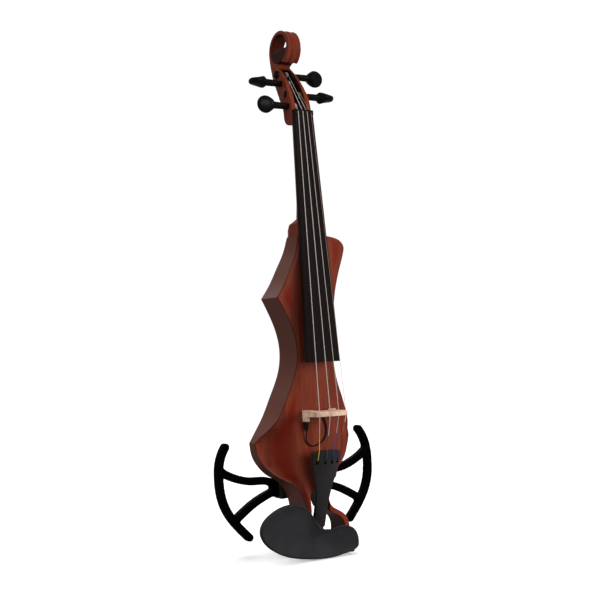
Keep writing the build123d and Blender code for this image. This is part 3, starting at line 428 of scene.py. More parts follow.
def cork(name):
    """Natural cork: warm grains with dark pits."""
    f = Finish(name, specular_ior_level=0.2)
    grain, pit = f.noise((1.1, 1.1, 1.1), 2.0), f.noise((0.5, 0.5, 0.9), 4.0, 0.7)
    colour = f.mix(srgb("b98a5e"), srgb("8c6340"), grain.rise(0.4, 0.65))
    f.feed(base_color=f.mix(colour, srgb("4a2f1d"), pit.rise(0.6, 0.75)), roughness=0.75 + pit * 0.2)
    return f.relief(1.0 - pit, 0.12).material


FRONT_VARNISH = varnished_wood("front_varnish", carved_front=True)
NECK_VARNISH = varnished_wood("neck_varnish", hollow_shade=True)
BOARD_EBONY = ebony("fingerboard_ebony", "18100e", 0.46)
PEG_EBONY = ebony("peg_ebony", "0c0a0a", 0.26)
TAIL_BLACK = moulded("tailpiece_black", "252324", 0.44, 0.7, 0.010, 0.4)
CHIN_BLACK = moulded("chin_rest_black", "262527", 0.46, 0.5, 0.010, 0.3)
WING_BLACK = moulded("wing_black", "030202", 0.60, 0.8, 0.012, 0.05)
COVER_BLACK = moulded("cover_black", "1b1a1b", 0.48, 0.6, 0.02)
RUBBER_BLACK = moulded("rubber_black", "121112", 0.62, 0.4, 0.01, 0.3)
BRIDGE_MAPLE = maple("bridge_maple")
CLAMP_CHROME = metal("clamp_chrome", "c9c9cc", 0.14)
SCREW_STEEL = metal("screw_steel", "a9a9ab", 0.24)
JACK_NICKEL = metal("jack_nickel", "b5b2aa", 0.20)
FOOT_CORK = cork("foot_cork")
BATTERY_CASE = moulded("battery_case", "3c4048", 0.36, 3.0, 0.004)
BOARD_GREEN = moulded("circuit_green", "0d3b1c", 0.35, 2.0, 0.02)
# a string's wire, the height its silk starts at, the silk, and a second silk if it has one
STRING_LOOKS = {
    "g": ("dcd3cd", 131.0, "d9b23c", None),
    "d": ("d8d0ca", 128.0, "1f5a48", None),
    "a": ("d8cfca", 130.0, "2b4a92", None),
    "e": ("cfae96", 142.0, "b58a5a", (128.0, "5a4a86")),
}

# ---------------------------------------------------------------- body
# (across, height) points of the outlines, in runs that meet at corners
BASS_OUTLINE = [
    [(-17, BODY_TOP), (-19.5, 326), (-27, 308), (-35.2, 291), (-45.3, 275.6)],
    [(-45.3, 275.6), (-37, 261.5), (-27.3, 240), (-23.2, 216), (-25.6, 197.5), (-38.8, 167), (-48.8, 147),
     (-62, 127), (-65.5, 121.5)],
    [(-65.5, 121.5), (-63, 107), (-56.5, 96), (-45.5, 85.5), (-32.5, 77.5), (-23.5, 67), (-19, 55), (-18, 45),
     (-21, 36), (-29, 28.5), (-35.5, 20), (-36.5, TAIL_BOTTOM)],
]
TREBLE_OUTLINE = [
    [(24, BODY_TOP), (34, 339.8), (40.6, 336), (43.6, 331), (42.8, 324), (37, 307), (29.3, 279), (25.3, 245),
     (24.2, 212), (27, 192), (36, 167), (45.5, 147), (54.5, 131), (59, 121.5)],
    [(59, 121.5), (54, 105), (44, 93.5), (33, 86.5), (22, 79), (14.5, 69), (12, 59), (14.6, 50.5), (23, 44.5),
     (34, 36), (37, 25), (36.5, TAIL_BOTTOM)],
]
# the tail opening's two sides
HOLE_BASS = [[(-7, 69.5), (-12, 66.5), (-13.5, 59), (-12.8, 46), (-15, 38), (-23, 31), (-29.5, 23), (-29, 9)]]
HOLE_TREBLE = [[(-7, 69.5), (2.5, 65), (5.5, 57), (7, 50), (11, 44.5), (20, 39.3), (27.5, 33.5), (30.5, 27),
                (29, 9)]]
# (height, depth) of the front's edge below its middle
BASS_FALL = [(342, 1.0), (160, 1.0), (147, 2.5), (137, 9.5), (127, 21), (121.5, 25), (110, 24), (96, 21),
             (85, 15), (77, 9), (67, 5), (55, 3), (9, 2)]
TREBLE_FALL = [(342, 2), (215, 1.5), (195, 3), (181, 4.5), (167, 6), (158, 8), (148, 11), (139, 17),
               (130, 25), (121.5, 29), (108, 29), (99, 26), (91, 22), (86, 18), (78, 10), (67, 6), (55, 4),
               (9, 2)]
FORK_Z = 69.5               # where the body forks into the two tail ribbons
EDGE_ROUND = 0.7
# (height, depth) of the back along its edges and down its middle
BACK_EDGE = [(BODY_TOP, 23.0), (336, 25.5), (325, 28.5), (313, 31.0), (295, 33.5), (277, 35.5), (262, 37.2),
             (245, BODY_DEPTH), (9, BODY_DEPTH)]
BACK_MIDDLE = [(BODY_TOP, 33.0), (290, BODY_DEPTH), (9, BODY_DEPTH)]
# the heel: a height, where it moves to, and how much wider it gets there
HEEL_HEIGHTS = np.array([(0, 0, 1), (342, 342, 1.06), (349, 350, 1.12), (356, 355.5, 1.13), (363, 358, 1.06),
                         (372, 361, 1), (386, 382, 1), (400, 400, 1), (700, 700, 1)])
TAILPIECE_TOP = (-20.5, 111.0)   # depth and height of the tailpiece's upper end
TAIL_LEAN = 0.32
TAIL_ARCH = 60.0                 # the tailpiece falls back by its distance across squared over this
TROUGH_ROOM = 6.3                # from the tailpiece's face to the floor of the trough behind it
TROUGH_END = 22.0                # the trough's lower end
TROUGH_HALF = ((0, 20, 34, 46, 62, 90), (19.6, 16.9, 13.4, 10.8, 9.1, 9.1))   # half width on the way down
TROUGH_WALL = 0.8
FALL_START, FALL_SHARE = 20.0, 0.8        # the fall starts this far across, or at this share of the edge
# the pockets in the back: left, right, front, back, lower and upper ends
BACK_POCKETS = [(-28, 28, 15, 40, 95, 140), (-31.5, 31.5, 35.5, 40, 91.5, 143.5),
                (-17.5, 17.5, 35.5, 40, 148.5, 271.5)]
JACK_SEATS = [(7.05, 23.3, 40, 25, 222), (5.05, 23.3, 40, 25, 203)]   # radius, from, to, depth, height
BODY_ROW = 1.7                   # height of the body's rows of faces
SHOULDER_Z, SHOULDER_ROW = 331.0, 0.5     # from here up the rows are closer
WAIST_Z, CORNER_Z = 121.5, 275.6          # heights of the outline's corners, which get rows of their own
RIBBON_UNDERCUT = 4.0            # the treble ribbon's inner wall slopes by this
BAR_HALF = 31.0                  # half width of the bar that joins the ribbons
BAR_EDGE = 0.6
BAR_BACK = BODY_DEPTH - 0.1      # just inside the ribbons' back
BAR_FRONT, SADDLE_HALF = 0.8, 18.0        # its front, but for the saddle's seat in its middle


def level(pairs, z):
    """Straight-line value at a height from (height, value) pairs listed downwards."""
    heights, values = np.array(pairs, float)[::-1].T
    return np.interp(z, heights, values)


def edge_line(lines, z):
    """How far across an outline lies at a height, from smooth curves through its points."""
    dense = np.vstack([curve(line, 240) for line in lines])
    order = np.argsort(dense[:, 1], kind="stable")
    return np.interp(z, dense[order, 1], dense[order, 0])


def fall_share(x, z):
    """How far down the fall a point lies, 0 at the plateau's edge and 1 at the outline, and how far across
    the outline is there."""
    edge = np.where(x < 0, -edge_line(BASS_OUTLINE, z), edge_line(TREBLE_OUTLINE, z))
    start = np.minimum(FALL_START, FALL_SHARE * edge)
    return (np.abs(x) - start) / np.maximum(edge - start, 1.0), edge


def table_fall(x, z):
    """Depth of the carved table: an S-shaped fall from the middle plateau to each outline."""
    return np.where(x < 0, level(BASS_FALL, z), level(TREBLE_FALL, z)) * ease(fall_share(x, z)[0])


def tail_trough(x, z):
    """Depth of the trough that clears the back of the leaning tailpiece, narrowing with it."""
    along = TAILPIECE_TOP[1] - z
    half = np.interp(along, *TROUGH_HALF)
    depth = TAILPIECE_TOP[0] + TAIL_LEAN * along + TROUGH_ROOM
    return depth * ease((half + TROUGH_WALL - np.abs(x)) / TROUGH_WALL) * (z > TROUGH_END)


def section(left, right, z, front, columns, flank, undercut=0.0):
    """One closed slice of the body at each height: across the front, round the edge, back down the flank
    and across the back. The left wall slopes by the undercut, an S-shaped share of the depth. Across, the
    back falls from its middle to its edges by the cube of the distance. Returns the grid of points, how much
    each is side, and how much it is edge."""
    left, right, z = (np.asarray(v, float)[:, None] for v in (left, right, z))
    r = np.minimum(EDGE_ROUND, 0.3 * np.abs(right - left))
    across = np.linspace(0, 1, columns)[None, :]
    turn = np.linspace(0, math.pi / 2, 5)[None, 1:-1]
    down = np.linspace(0, 1, flank)[None, :]
    x_front = lerp(left + r, right - r, across)
    y_front = front(x_front, z + 0 * x_front)
    y_left, y_right = y_front[:, :1] + r, y_front[:, -1:] + r
    back, middle = level(BACK_EDGE, z), level(BACK_MIDDLE, z)
    crown = lerp(back, middle, 1.0 - np.abs(2.0 * across - 1.0) ** 3)

    def slope(y):
        """How far the left wall has moved in at a depth."""
        return undercut * ease(y / BODY_DEPTH)

    # places across, depths, side and edge of the slice's eight runs
    parts = [
        (x_front, y_front, 0, 0),
        (right - r + r * np.sin(turn), y_right - r * np.cos(turn), 0.3, 1),
        (right + 0 * down, lerp(y_right, back - r, down), 1, 0),
        (right - r + r * np.cos(turn), back - r + r * np.sin(turn), 1, 0),
        (lerp(right - r, left + slope(back) + r, across), crown, 0, 0),
        (left + slope(back) + r - r * np.sin(turn), back - r + r * np.cos(turn), 1, 0),
        (left + slope(lerp(back - r, y_left, down)), lerp(back - r, y_left, down), 1, 0),
        (left + r - r * np.cos(turn), y_left - r * np.sin(turn), 0.3, 1),
    ]
    x = np.hstack([p[0] for p in parts])
    y = np.hstack([p[1] + 0 * p[0] for p in parts])
    side = np.hstack([p[2] + 0 * p[0] for p in parts])
    seam = np.hstack([p[3] + 0 * p[0] for p in parts])
    return np.stack([x, y, z + 0 * x], -1), side, seam


def carved_front(x, z):
    """The front's depth: the carved fall, or the tailpiece's trough where that is deeper."""
    return np.maximum(table_fall(x, z), tail_trough(x, z))


def valley_shade_of(grid):
    """How much painted shade, a deeper red, a point gets in the fall's steep band: a bell round halfway down
    the fall, fading out where the body is narrow."""
    share, edge = fall_share(grid[..., 0], grid[..., 2])
    strength = ease((edge - 26.0) / 20.0)
    return np.exp(-((share - 0.50) / 0.22) ** 2) * strength


def box_cutter(x0, x1, y0, y1, z0, z1):
    """A plain box used only to cut a pocket."""
    loop = [(x0, y0), (x1, y0), (x1, y1), (x0, y1)]
    return Shell().add([[(x, y, z) for x, y in loop] for z in (z0, z1)])


def disc_cutter(radius, x0, x1, y, z):
    """A plain round bar along X used only to cut a seat: a circle carried from one place to another."""
    turn = np.linspace(0, 2 * math.pi, 48, endpoint=False)
    return Shell().add([np.stack([x + 0 * turn, y + radius * np.cos(turn), z + radius * np.sin(turn)], -1)
                        for x in (x0, x1)])


def cut(piece, cutters):
    """Cuts each plain shape out of a piece, which keeps its own finish on the cut faces."""
    finish = piece.data.materials[0]
    made = []
    for i, cutter in enumerate(cutters):
        other = bpy.data.objects.new(f"cutter_{i}", cutter.mesh("cutter", 30))
        bpy.context.scene.collection.objects.link(other)
        take = piece.modifiers.new(f"pocket_{i}", "BOOLEAN")
        take.operation, take.solver, take.object = "DIFFERENCE", "EXACT", other
        made.append(other)
    applied(piece)
    for other in made:
        bpy.data.objects.remove(other)
    piece.data.materials.clear()
    piece.data.materials.append(finish)


def build_body():
    """The carved body, the two ribbons of its tail below the fork, and the bar that joins them."""
    rows = np.unique(np.round(np.concatenate([
        np.arange(FORK_Z, SHOULDER_Z, BODY_ROW), [WAIST_Z, CORNER_Z],
        np.arange(SHOULDER_Z, BODY_TOP + 0.1, SHOULDER_ROW)]), 3))
    grid, side, seam = section(edge_line(BASS_OUTLINE, rows), edge_line(TREBLE_OUTLINE, rows), rows,
                               carved_front, 130, 22)
    shell = Shell().add(grid, side=side, seam=seam, valley=valley_shade_of(grid))
    body = shell.piece("carved_body", FRONT_VARNISH, ROOT, ("body_core", "top_plate"), "red_wood", 34)
    cut(body, [box_cutter(*pocket) for pocket in BACK_POCKETS] + [disc_cutter(*seat) for seat in JACK_SEATS])
    low = np.concatenate([np.linspace(TAIL_BOTTOM, 62.0, 36), np.linspace(62.6, FORK_Z, 12)])
    ribbons = Shell()
    for left, right, undercut in (
            (BASS_OUTLINE, HOLE_BASS, 0.0), (HOLE_TREBLE, TREBLE_OUTLINE, RIBBON_UNDERCUT)):
        undercut = undercut * ease((FORK_Z - low) / 6.0)[:, None]
        grid, side, seam = section(edge_line(left, low), edge_line(right, low), low, carved_front, 26, 22,
                                   undercut)
        # the ribbons carry an even share of the painted shade
        ribbons.add(grid, side=side, seam=seam, valley=0.4)
    ribbons.piece("tail_ribbons", FRONT_VARNISH, ROOT, (), "red_wood", 34)
    x = np.linspace(-BAR_HALF, BAR_HALF, 40)
    near = np.where(np.abs(x) < SADDLE_HALF, SADDLE_Y, BAR_FRONT)
    top = TAIL_BOTTOM + TAIL_BAR
    far, edge = BAR_BACK + 0 * x, BAR_EDGE
    bar = np.stack([np.stack([x, y, z + 0 * x], -1) for y, z in (
        (near, TAIL_BOTTOM + edge), (near + edge, TAIL_BOTTOM), (far - edge, TAIL_BOTTOM),
        (far, TAIL_BOTTOM + edge), (far, top - edge), (far - edge, top), (near + edge, top),
        (near, top - edge))], 1)
    # the bar carries an even share of the painted shade and of the painted sheen
    Shell().add(bar, side=0.6, seam=0.0, valley=0.3).piece(
        "tail_bar", FRONT_VARNISH, ROOT, (), "red_wood", 34)


# ---------------------------------------------------------------- fingerboard
def build_fingerboard():
    """Ruled board: half width and depth change evenly down it, and its top is arched: the depth grows by the
    arch's radius less the root of radius squared less distance across squared."""
    along = np.linspace(0, 1, 70)[:, None]
    half, top, under = lerp(*BOARD_HALF, along), lerp(*BOARD_TOP, along), lerp(*BOARD_UNDER, along)
    flat = half - BOARD_ROUND
    x = np.linspace(-1, 1, 31)[None, :] * flat
    y = top + BOARD_ARCH - np.sqrt(BOARD_ARCH ** 2 - x ** 2)
    edge = top + BOARD_ARCH - np.sqrt(BOARD_ARCH ** 2 - flat ** 2)
    z = NUT_Z - BOARD_LENGTH * along
    bend = np.linspace(0, math.pi / 2, 4)[None, 1:]
    right_x, right_y = flat + BOARD_ROUND * np.sin(bend), edge + BOARD_ROUND * (1 - np.cos(bend))
    lower, chamfered = half - BOARD_CHAMFER, under - BOARD_CHAMFER
    loop_x = np.hstack([x, right_x, half, lower, -lower, -half, -right_x[:, ::-1]])
    loop_y = np.hstack([y, right_y, chamfered, under, under, chamfered, right_y[:, ::-1]])
    grid = np.stack([loop_x, loop_y, z + 0 * loop_x], -1)
    Shell().add(grid).piece("fingerboard_arched", BOARD_EBONY, ROOT, ("fingerboard",), "black_wood", 40)


# ---------------------------------------------------------------- pegs
# each peg's side, height above the nut, depth, and whether its head faces the front
PEGS = {"g": (-1, 10.5, 18.0, True), "e": (1, 24.5, 22.5, False), "d": (-1, 39.0, 33.3, False),
        "a": (1, 51.0, 42.0, True)}
# places along a peg from the middle of the pegbox, half widths and half thicknesses
PEG_PROFILE = [(-13.3, 2.9, 2.9), (-12.9, 3.5, 3.5), (0, 3.5, 3.5), (18, 3.6, 3.6), (27, 3.8, 3.8),
               (30.2, 4.2, 4.3), (31.6, 5.3, 5.6), (33.2, 6.6, 6.4), (35.2, 8.0, 6.2), (38, 9.3, 5.2),
               (40.8, 9.6, 4.5), (44.2, 8.9, 3.9), (47.2, 7.0, 3.4), (49.2, 4.3, 2.6), (50.0, 1.9, 1.2),
               (50.1, 0.05, 0.05)]
PEG_TIP = 0.03              # the least half width, so that the end doesn't turn inside out
PEG_SHOULDER = 31.0         # where the section starts to turn from round to a rounded box


def peg_surface(sign, up, deep, face_on):
    """A peg as one surface: at each place along it a rounded oval, as wide and thick as its profile says;
    round on the shaft, it swells into a shoulder and flattens into the disc of the head."""
    along, wide, thick = curve(PEG_PROFILE, 150).T[:, :, None]
    turn = np.linspace(0, 2 * math.pi, 48, endpoint=False)[None, :]
    c, s = np.cos(turn), np.sin(turn)
    full = 1.0 - 0.12 * ease((along - PEG_SHOULDER) / 6.0)
    u = np.maximum(wide, PEG_TIP) * np.sign(s) * np.abs(s) ** full
    v = np.maximum(thick, PEG_TIP) * np.sign(c) * np.abs(c) ** full
    y, z = (v, u) if face_on else (u, v)
    return np.stack([sign * along + 0 * y, deep + y, NUT_Z + up + z], -1)


def build_pegs():
    """Four friction pegs, each turned and carved from one piece."""
    for name, (sign, up, deep, face_on) in PEGS.items():
        Shell().add(peg_surface(sign, up, deep, face_on)).piece(
            f"turned_peg_{name}", PEG_EBONY, f"tuning_peg_{name}", (f"peg_{name}",), "black_wood", 60)


# ---------------------------------------------------------------- strings
STRINGS = ("g", "d", "a", "e")
DIAMETERS = {"g": 0.82, "d": 0.86, "a": 0.70, "e": 0.36}
WINDING_X = {"g": -4.3, "e": 4.9, "d": -2.0, "a": 1.4}
# the span of the four strings at the tailpiece, the bridge and the nut
TAIL_SPAN, BRIDGE_SPAN, NUT_SPAN = 25.5, 33.5, 16.5
HOLE_DOWN, HOLE_SINK = 13.5, 5.5          # the string's end below the tailpiece's top end, and below its face
SLOT_DOWN, LIP_DOWN = 9.0, -0.4           # where it comes up onto the face, and where it leaves it
STRING_LIFT = 0.15
NUT_MIDDLE = 2.5                          # the nut's middle above its lower end
WINDING_ROOM = 0.25
WINDING_TURNS = 4.0
WINDING_WIDEST = 0.74                     # the most that a turn may move along its peg
CORNER_R = 1.5


def tube(points, radius, around=10):
    """A round tube along points: at each, a circle square to the line, turned as little as it can be."""
    p = np.asarray(points, float)
    step = np.gradient(p, axis=0)
    step /= np.linalg.norm(step, axis=1)[:, None]
    across = np.cross(step, (1.0, 0.0, 0.0))
    across /= np.linalg.norm(across, axis=1)[:, None]
    other = np.cross(step, across)
    turn = np.linspace(0, 2 * math.pi, around, endpoint=False)
    ring = np.cos(turn)[None, :, None] * across[:, None] + np.sin(turn)[None, :, None] * other[:, None]
    return p[:, None] + radius * ring


def rounded_route(corners, radius, steps=6):
    """A line through corners with each rounded: a quadratic curve from just before it to just after."""
    c = np.asarray(corners, float)
    route = [c[:1]]
    for before, here, after in zip(c, c[1:], c[2:]):
        near = min(radius, 0.45 * np.linalg.norm(here - before), 0.45 * np.linalg.norm(after - here))
        a = here + (before - here) / np.linalg.norm(before - here) * near
        b = here + (after - here) / np.linalg.norm(after - here) * near
        t = np.linspace(0, 1, steps)[:, None]
        route.append((1 - t) ** 2 * a + 2 * t * (1 - t) * here + t ** 2 * b)
    route.append(c[-1:])
    return np.vstack(route)


def tailpiece_point(x, down, above):
    """A point on the tailpiece: across, down from its top end along it, and above its face."""
    lean = math.hypot(1, TAIL_LEAN)
    y = TAILPIECE_TOP[0] + TAIL_LEAN * down / lean - above / lean + x * x / TAIL_ARCH
    return (x, y, TAILPIECE_TOP[1] - down / lean - TAIL_LEAN * above / lean)


def build_strings():
    """Four strings over bridge and nut to their pegs, each with its silk, and the windings they end in: at
    bridge and nut a string lies back by the arch's radius less the root of radius squared less distance
    across squared, and its turns are a helix."""
    for i, name in enumerate(STRINGS):
        share, radius = i / 3 - 0.5, DIAMETERS[name] / 2
        _, up, deep, _ = PEGS[name]
        tail_x, bridge_x, nut_x = TAIL_SPAN * share, BRIDGE_SPAN * share, NUT_SPAN * share
        bridge_y = BRIDGE_TOP + BRIDGE_ARCH - math.sqrt(BRIDGE_ARCH ** 2 - bridge_x ** 2)
        nut_y = NUT_TOP + BOARD_ARCH - math.sqrt(BOARD_ARCH ** 2 - nut_x ** 2)
        corners = [
            tailpiece_point(tail_x, HOLE_DOWN, -HOLE_SINK),
            tailpiece_point(tail_x, SLOT_DOWN, radius + STRING_LIFT),
            tailpiece_point(tail_x, LIP_DOWN, radius + STRING_LIFT),
            (bridge_x, bridge_y, BRIDGE_Z), (nut_x, nut_y, NUT_Z + NUT_MIDDLE),
            (WINDING_X[name], deep - PEG_R - 3 * radius - WINDING_ROOM, NUT_Z + up + 1),
        ]
        light, silk_top, silk, second = STRING_LOOKS[name]
        finish = wire(f"string_{name}_wire", light, silk_top, silk, second)
        Shell().add(tube(rounded_route(corners, CORNER_R), radius)).piece(
            f"wound_string_{name}", finish, ROOT, (f"string_{name}",), "string_wire", 60)
        turns = np.linspace(0, WINDING_TURNS, 150)
        helix_r = PEG_R + radius
        angle = 2 * math.pi * turns + math.pi
        pitch = DIAMETERS[name] * 1.02 + (0.35 if name == "e" else 0.0)
        step = min(pitch, WINDING_WIDEST)
        helix = np.stack([WINDING_X[name] + (turns - WINDING_TURNS / 2) * step,
                          deep + helix_r * np.cos(angle), NUT_Z + up + helix_r * np.sin(angle)], -1)
        Shell().add(tube(helix, radius, 8)).piece(
            f"string_turns_{name}", finish, f"tuning_peg_{name}", (f"winding_{name}",), "string_wire", 60)


# ---------------------------------------------------------------- chin rest
CHIN_OUTLINE = [(-64.9, 58.5), (-78, 52.5), (-86.5, 45.0), (-89.6, 36.0), (-86, 26), (-75, 15.8),
                (-57, 7.0), (-31, 1.6), (-3, 0), (16, 2.4), (26.2, 5.0), (30.4, 8.0), (31.4, 13),
                (30.4, 20), (26.6, 26.4), (19, 30.6), (8, 31.4), (-1, 29.6), (-9, 29.8), (-16, 33.4),
                (-23, 41.5), (-30.5, 52.5), (-41, 59.2), (-52, 60.6)]
CHIN_FRONT, CHIN_BACK = -24.0, -17.0
CHIN_RIM = 2.4              # how far the rolled rim reaches in
CHIN_HOLLOW = 4.2
CHIN_FEET = (-24.0, 24.0)   # places across of the two feet's middles
CHIN_FOOT_HALF = 3.5
CHIN_CENTRE = np.array((-30.0, 21.0))


def column(x0, x1, y0, y1, z0, z1, power=5.0):
    """A block with rounded corners seen along Y: a superellipse carried from one depth to another."""
    turn = np.linspace(0, 2 * math.pi, 40, endpoint=False)
    c, s = np.cos(turn), np.sin(turn)
    x = (x0 + x1) / 2 + (x1 - x0) / 2 * np.sign(c) * np.abs(c) ** (2 / power)
    z = (z0 + z1) / 2 + (z1 - z0) / 2 * np.sign(s) * np.abs(s) ** (2 / power)
    return np.stack([np.stack([x, y + 0 * x, z], -1) for y in (y0, y1)])


def build_chin_rest():
    """A kidney-shaped cup made of rings: from the back's middle out to the rim, where the depth falls by the
    fourth power of the share, over the rolled rim, a half circle, and into the hollow, a dome's power."""
    rim = curve(CHIN_OUTLINE, 260, closed=True)
    reach = np.linalg.norm(rim - CHIN_CENTRE, axis=1)

    def inset(share, mm=0.0):
        """The rim drawn in towards the centre by a share and by a distance."""
        return CHIN_CENTRE + (rim - CHIN_CENTRE) * (share - mm / reach[:, None])

    rings = [(inset(share), CHIN_BACK - 1.4 * share ** 4) for share in (0.02, 0.3, 0.6, 0.85)]
    for turn in np.linspace(-math.pi / 2, math.pi / 2, 9):
        roll = 1.2 * math.sin(turn) + CHIN_RIM * 0.6 * math.sin(turn)
        rings.append((inset(1.0, CHIN_RIM * (1 - math.cos(turn))), CHIN_FRONT + 3.6 - roll))
    for share in (0.93, 0.86, 0.78, 0.68, 0.56, 0.42, 0.28, 0.14, 0.02):
        rings.append((inset(share), CHIN_FRONT + 0.95 + CHIN_HOLLOW * (1 - share ** 2) ** 1.2))
    grid = np.stack([np.stack([r[:, 0], y + 0 * r[:, 0], r[:, 1]], -1) for r, y in rings])
    shell = Shell().add(grid)
    for x in CHIN_FEET:
        shell.add(column(x - CHIN_FOOT_HALF, x + CHIN_FOOT_HALF, CHIN_BACK - 1.5, -1.5, 2, 18))
    shell.piece("chin_cup", CHIN_BLACK, ROOT, ("chin_plate",), "black_plastic", 50)


# ---------------------------------------------------------------- pickup cable
CABLE_POINTS = [(-17.5, -2.9, 132.5), (-18.0, -1.9, 126.5), (-16.6, -1.2, 119.6), (-9.8, -1.0, 115.4),
                (-1.8, -0.9, 117.0), (5.2, -0.9, 121.2), (9.2, -0.9, 128.6), (9.0, -0.9, 138.0),
                (5.0, -1.6, 147.5)]
CABLE_DIAMETER = 0.0015     # in metres


def build_cable():
    """The pickup cable, from its plug in a loose loop on the table to the boot under the bridge."""
    line = bpy.data.curves.new("pickup_cable_line", "CURVE")
    line.dimensions = "3D"
    line.bevel_depth, line.bevel_resolution, line.use_fill_caps = CABLE_DIAMETER / 2, 4, True
    spline = line.splines.new("NURBS")
    spline.points.add(len(CABLE_POINTS) - 1)
    for point, place in zip(spline.points, metres(CABLE_POINTS)):
        point.co = (*place, 1.0)
    spline.order_u = 3
    spline.use_endpoint_u = True
    spline.resolution_u = 16
    cable = bpy.data.objects.new("pickup_cable_run", line)
    settled(cable, RUBBER_BLACK, ROOT, ("pickup_cable",))


# ---------------------------------------------------------------- everything
def arched_tailpiece(points):
    """Bends the tailpiece's plate across: each point falls back by its distance across squared."""
    return points + np.stack([0 * points[:, 0], points[:, 0] ** 2 / TAIL_ARCH, 0 * points[:, 0]], -1)


def square_heel(points):
    """Makes the heel a shorter, squarer block: heights in it are eased down along a curve, and points there
    move out from the middle by a share that dies away at its top."""
    height, moved, wider = HEEL_HEIGHTS.T
    x = points[:, 0] * np.interp(points[:, 2], height, wider)
    return np.stack([x, points[:, 1], np.interp(points[:, 2], height, moved)], -1)


build_body()
build_fingerboard()
build_pegs()
build_strings()
build_chin_rest()
carved("neck_scroll", "neck_and_scroll", NECK_VARNISH, ROOT, 0.62, 5, square_heel)
for side in ("bass", "treble"):
    carved(f"wing_{side}", f"{side}_wing_bar", WING_BLACK, f"{side}_wing", 0.8, 16)
carved("bridge", "carved_bridge", BRIDGE_MAPLE, ROOT, 0.32, 3)
carved("tailpiece", "arched_tailpiece", TAIL_BLACK, ROOT, 0.36, 3, arched_tailpiece)
carved("nut", "slotted_nut", BOARD_EBONY, ROOT, 0.22, 2)

# the nodes that only have their edges eased, with the bevel's width
EASED = [
    ("tail_saddle", BOARD_EBONY, ROOT, "black_wood", 0.3),
    ("end_button", PEG_EBONY, ROOT, "black_wood", 0.3),
    ("pickup_block", BRIDGE_MAPLE, ROOT, "black_plastic", 0.4),
    ("pickup_plug", RUBBER_BLACK, ROOT, "black_plastic", 0.2),
    ("cable_boot", RUBBER_BLACK, ROOT, "black_rubber", 0.8),
    ("chin_clamp", CLAMP_CHROME, ROOT, "bright_steel", 0.35),
    ("chin_studs", CLAMP_CHROME, ROOT, "bright_steel", 0.1),
    ("chin_corks", FOOT_CORK, ROOT, "cork", 0.2),
    ("clamp_barrel_bass", CLAMP_CHROME, "bass_clamp_barrel", "bright_steel", 0.3),
    ("clamp_barrel_treble", CLAMP_CHROME, "treble_clamp_barrel", "bright_steel", 0.3),
    ("wing_bracket", COVER_BLACK, ROOT, "black_plastic", 0.4),
    ("bracket_screws", SCREW_STEEL, ROOT, "bright_steel", 0.1),
    ("wing_screw_bass", SCREW_STEEL, "bass_thumb_screw", "bright_steel", 0.3),
    ("wing_screw_treble", SCREW_STEEL, "treble_thumb_screw", "bright_steel", 0.3),
    ("back_cover", COVER_BLACK, ROOT, "black_plastic", 0.3),
    ("cover_screws", SCREW_STEEL, ROOT, "bright_steel", 0.1),
    ("battery_door", COVER_BLACK, "back_hatch", "black_plastic", 0.3),
    ("door_pins", SCREW_STEEL, ROOT, "bright_steel", 0.1),
    ("battery", BATTERY_CASE, ROOT, "battery_case", 0.6),
    ("battery_snap", RUBBER_BLACK, ROOT, "black_plastic", 0.4),
    ("battery_lead", RUBBER_BLACK, ROOT, "black_rubber", 0.05),
    ("preamp_board", BOARD_GREEN, ROOT, "circuit_green", 0.1),
    ("output_jack", JACK_NICKEL, ROOT, "bright_steel", 0.25),
    ("phones_jack", JACK_NICKEL, ROOT, "bright_steel", 0.2),
    ("tone_pot", JACK_NICKEL, ROOT, "bright_steel", 0.2),
    ("volume_pot", JACK_NICKEL, ROOT, "bright_steel", 0.2),
    ("tone_knob", COVER_BLACK, "tone_control", "black_plastic", 0.5),
    ("volume_knob", COVER_BLACK, "volume_control", "black_plastic", 0.5),
    ("tail_cord", RUBBER_BLACK, ROOT, "black_rubber", 0.05),
    ("string_balls", JACK_NICKEL, ROOT, "string_wire", 0.2),
    ("string_sleeve", BRIDGE_MAPLE, ROOT, "black_rubber", 0.05),
]
for node, finish, body, slot, width in EASED:
    eased(node, f"{node}_finished", finish, body, width)
build_cable()

# ---------------------------------------------------------------- floor, light and camera
CAMERA_PLACE = np.array((-648.4, -993.7, 220.8))
CAMERA_AZIMUTH, CAMERA_ELEVATION, CAMERA_ROLL = -32.41, -2.51, -2.28    # in degrees
LENS, SENSOR = 66.0, 36.0
FLOOR_Z, FLOOR_HALF, FLOOR_GLOW = -0.4, 9000.0, 0.26
MIDDLE = (0, 0, 260)
# each lamp's place, size in metres, power, and whether it shows in the gloss
LAMPS = {
    "key": ((1250, -1350, 350), 0.9, 40, False),
    "sheen": ((250, -1900, 1100), 0.5, 4, True),
    "bass_fill": ((-1700, -500, 700), 1.5, 16, False),
    "back_soft": ((500, 1500, 900), 1.5, 8, True),
}
SUN_POWER, SUN_SPREAD, SUN_TILT = 2.4, 50, -4      # the last two in degrees
ROOM_LIGHT, BACKDROP_LIGHT = 0.13, 1.05


def build_stage():
    """A pale floor: one flat sheet just below the chin rest, wide enough to run out of every view."""
    across = np.linspace(-FLOOR_HALF, FLOOR_HALF, 19)
    x, y = np.meshgrid(across, across)
    grid = np.stack([x, y, FLOOR_Z + 0 * x], -1)
    f = Finish("pale_sheet", roughness=0.9, specular_ior_level=0.0, base_color=(0.90, 0.90, 0.90, 1.0),
               emission_color=(1.0, 1.0, 1.0, 1.0), emission_strength=FLOOR_GLOW)
    sheet = bpy.data.objects.new("floor", Shell().add(grid, wrap=False, capped=False).mesh("floor", 60))
    sheet.data.materials.append(f.material)
    sheet.visible_diffuse = sheet.visible_glossy = False
    bpy.context.scene.collection.objects.link(sheet)


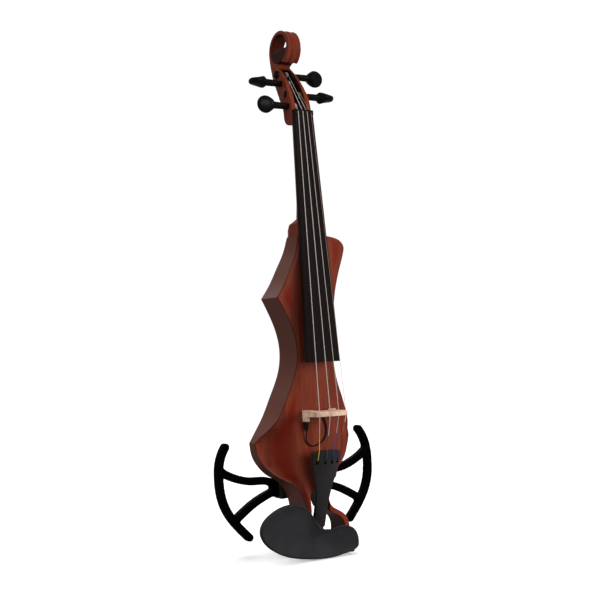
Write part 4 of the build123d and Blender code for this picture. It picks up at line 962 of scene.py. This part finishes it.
def linked_light(name, kind, **settings):
    """A light of a kind with its settings, in the scene."""
    light = bpy.data.lights.new(name, kind)
    for key, value in settings.items():
        setattr(light, key, value)
    piece = bpy.data.objects.new(name, light)
    bpy.context.scene.collection.objects.link(piece)
    return piece


def build_lights():
    """Soft square lamps turned to the middle of the violin, and a wide soft sun from above."""
    for name, (place, size, power, mirrored) in LAMPS.items():
        piece = linked_light(name, "AREA", shape="SQUARE", size=size, energy=power)
        spot, aim = Vector(metres(place)), Vector(metres(MIDDLE))
        piece.location = spot
        piece.rotation_euler = (aim - spot).to_track_quat("-Z", "Y").to_euler()
        piece.visible_camera, piece.visible_glossy = False, mirrored
    sun = linked_light("top_soft", "SUN", energy=SUN_POWER, angle=math.radians(SUN_SPREAD))
    sun.visible_glossy = False
    sun.rotation_euler = (math.radians(SUN_TILT), 0, 0)


def build_world():
    """White all round: bright where the camera sees it, dim where it only lights the pieces."""
    world = bpy.data.worlds.new("studio")
    world.use_nodes = True
    tree = world.node_tree
    background = tree.nodes["Background"]
    background.inputs["Color"].default_value = (1, 1, 1, 1)
    ray = tree.nodes.new("ShaderNodeLightPath")
    glow = tree.nodes.new("ShaderNodeMapRange")
    glow.inputs["To Min"].default_value, glow.inputs["To Max"].default_value = ROOM_LIGHT, BACKDROP_LIGHT
    tree.links.new(ray.outputs["Is Camera Ray"], glow.inputs["Value"])
    tree.links.new(glow.outputs[0], background.inputs["Strength"])
    bpy.context.scene.world = world
    bpy.context.scene.view_settings.view_transform = "Standard"


def build_camera():
    """A long lens, a little below the middle, turned to the bass side and slightly rolled."""
    azimuth, elevation, roll = (math.radians(v) for v in (CAMERA_AZIMUTH, CAMERA_ELEVATION, CAMERA_ROLL))
    back = np.array((math.sin(azimuth) * math.cos(elevation), -math.cos(azimuth) * math.cos(elevation),
                     math.sin(elevation)))
    right = np.cross(-back, (0, 0, 1.0))
    right /= np.linalg.norm(right)
    up = np.cross(right, -back)
    right, up = (math.cos(roll) * right + math.sin(roll) * up, math.cos(roll) * up - math.sin(roll) * right)
    camera = bpy.data.objects.new("camera", bpy.data.cameras.new("camera"))
    camera.data.lens, camera.data.sensor_width = LENS, SENSOR
    place = metres(CAMERA_PLACE)
    camera.matrix_world = Matrix([[right[i], up[i], back[i], place[i]] for i in range(3)] + [[0, 0, 0, 1]])
    bpy.context.scene.collection.objects.link(camera)
    bpy.context.scene.camera = camera


build_stage()
build_camera()
build_lights()
build_world()
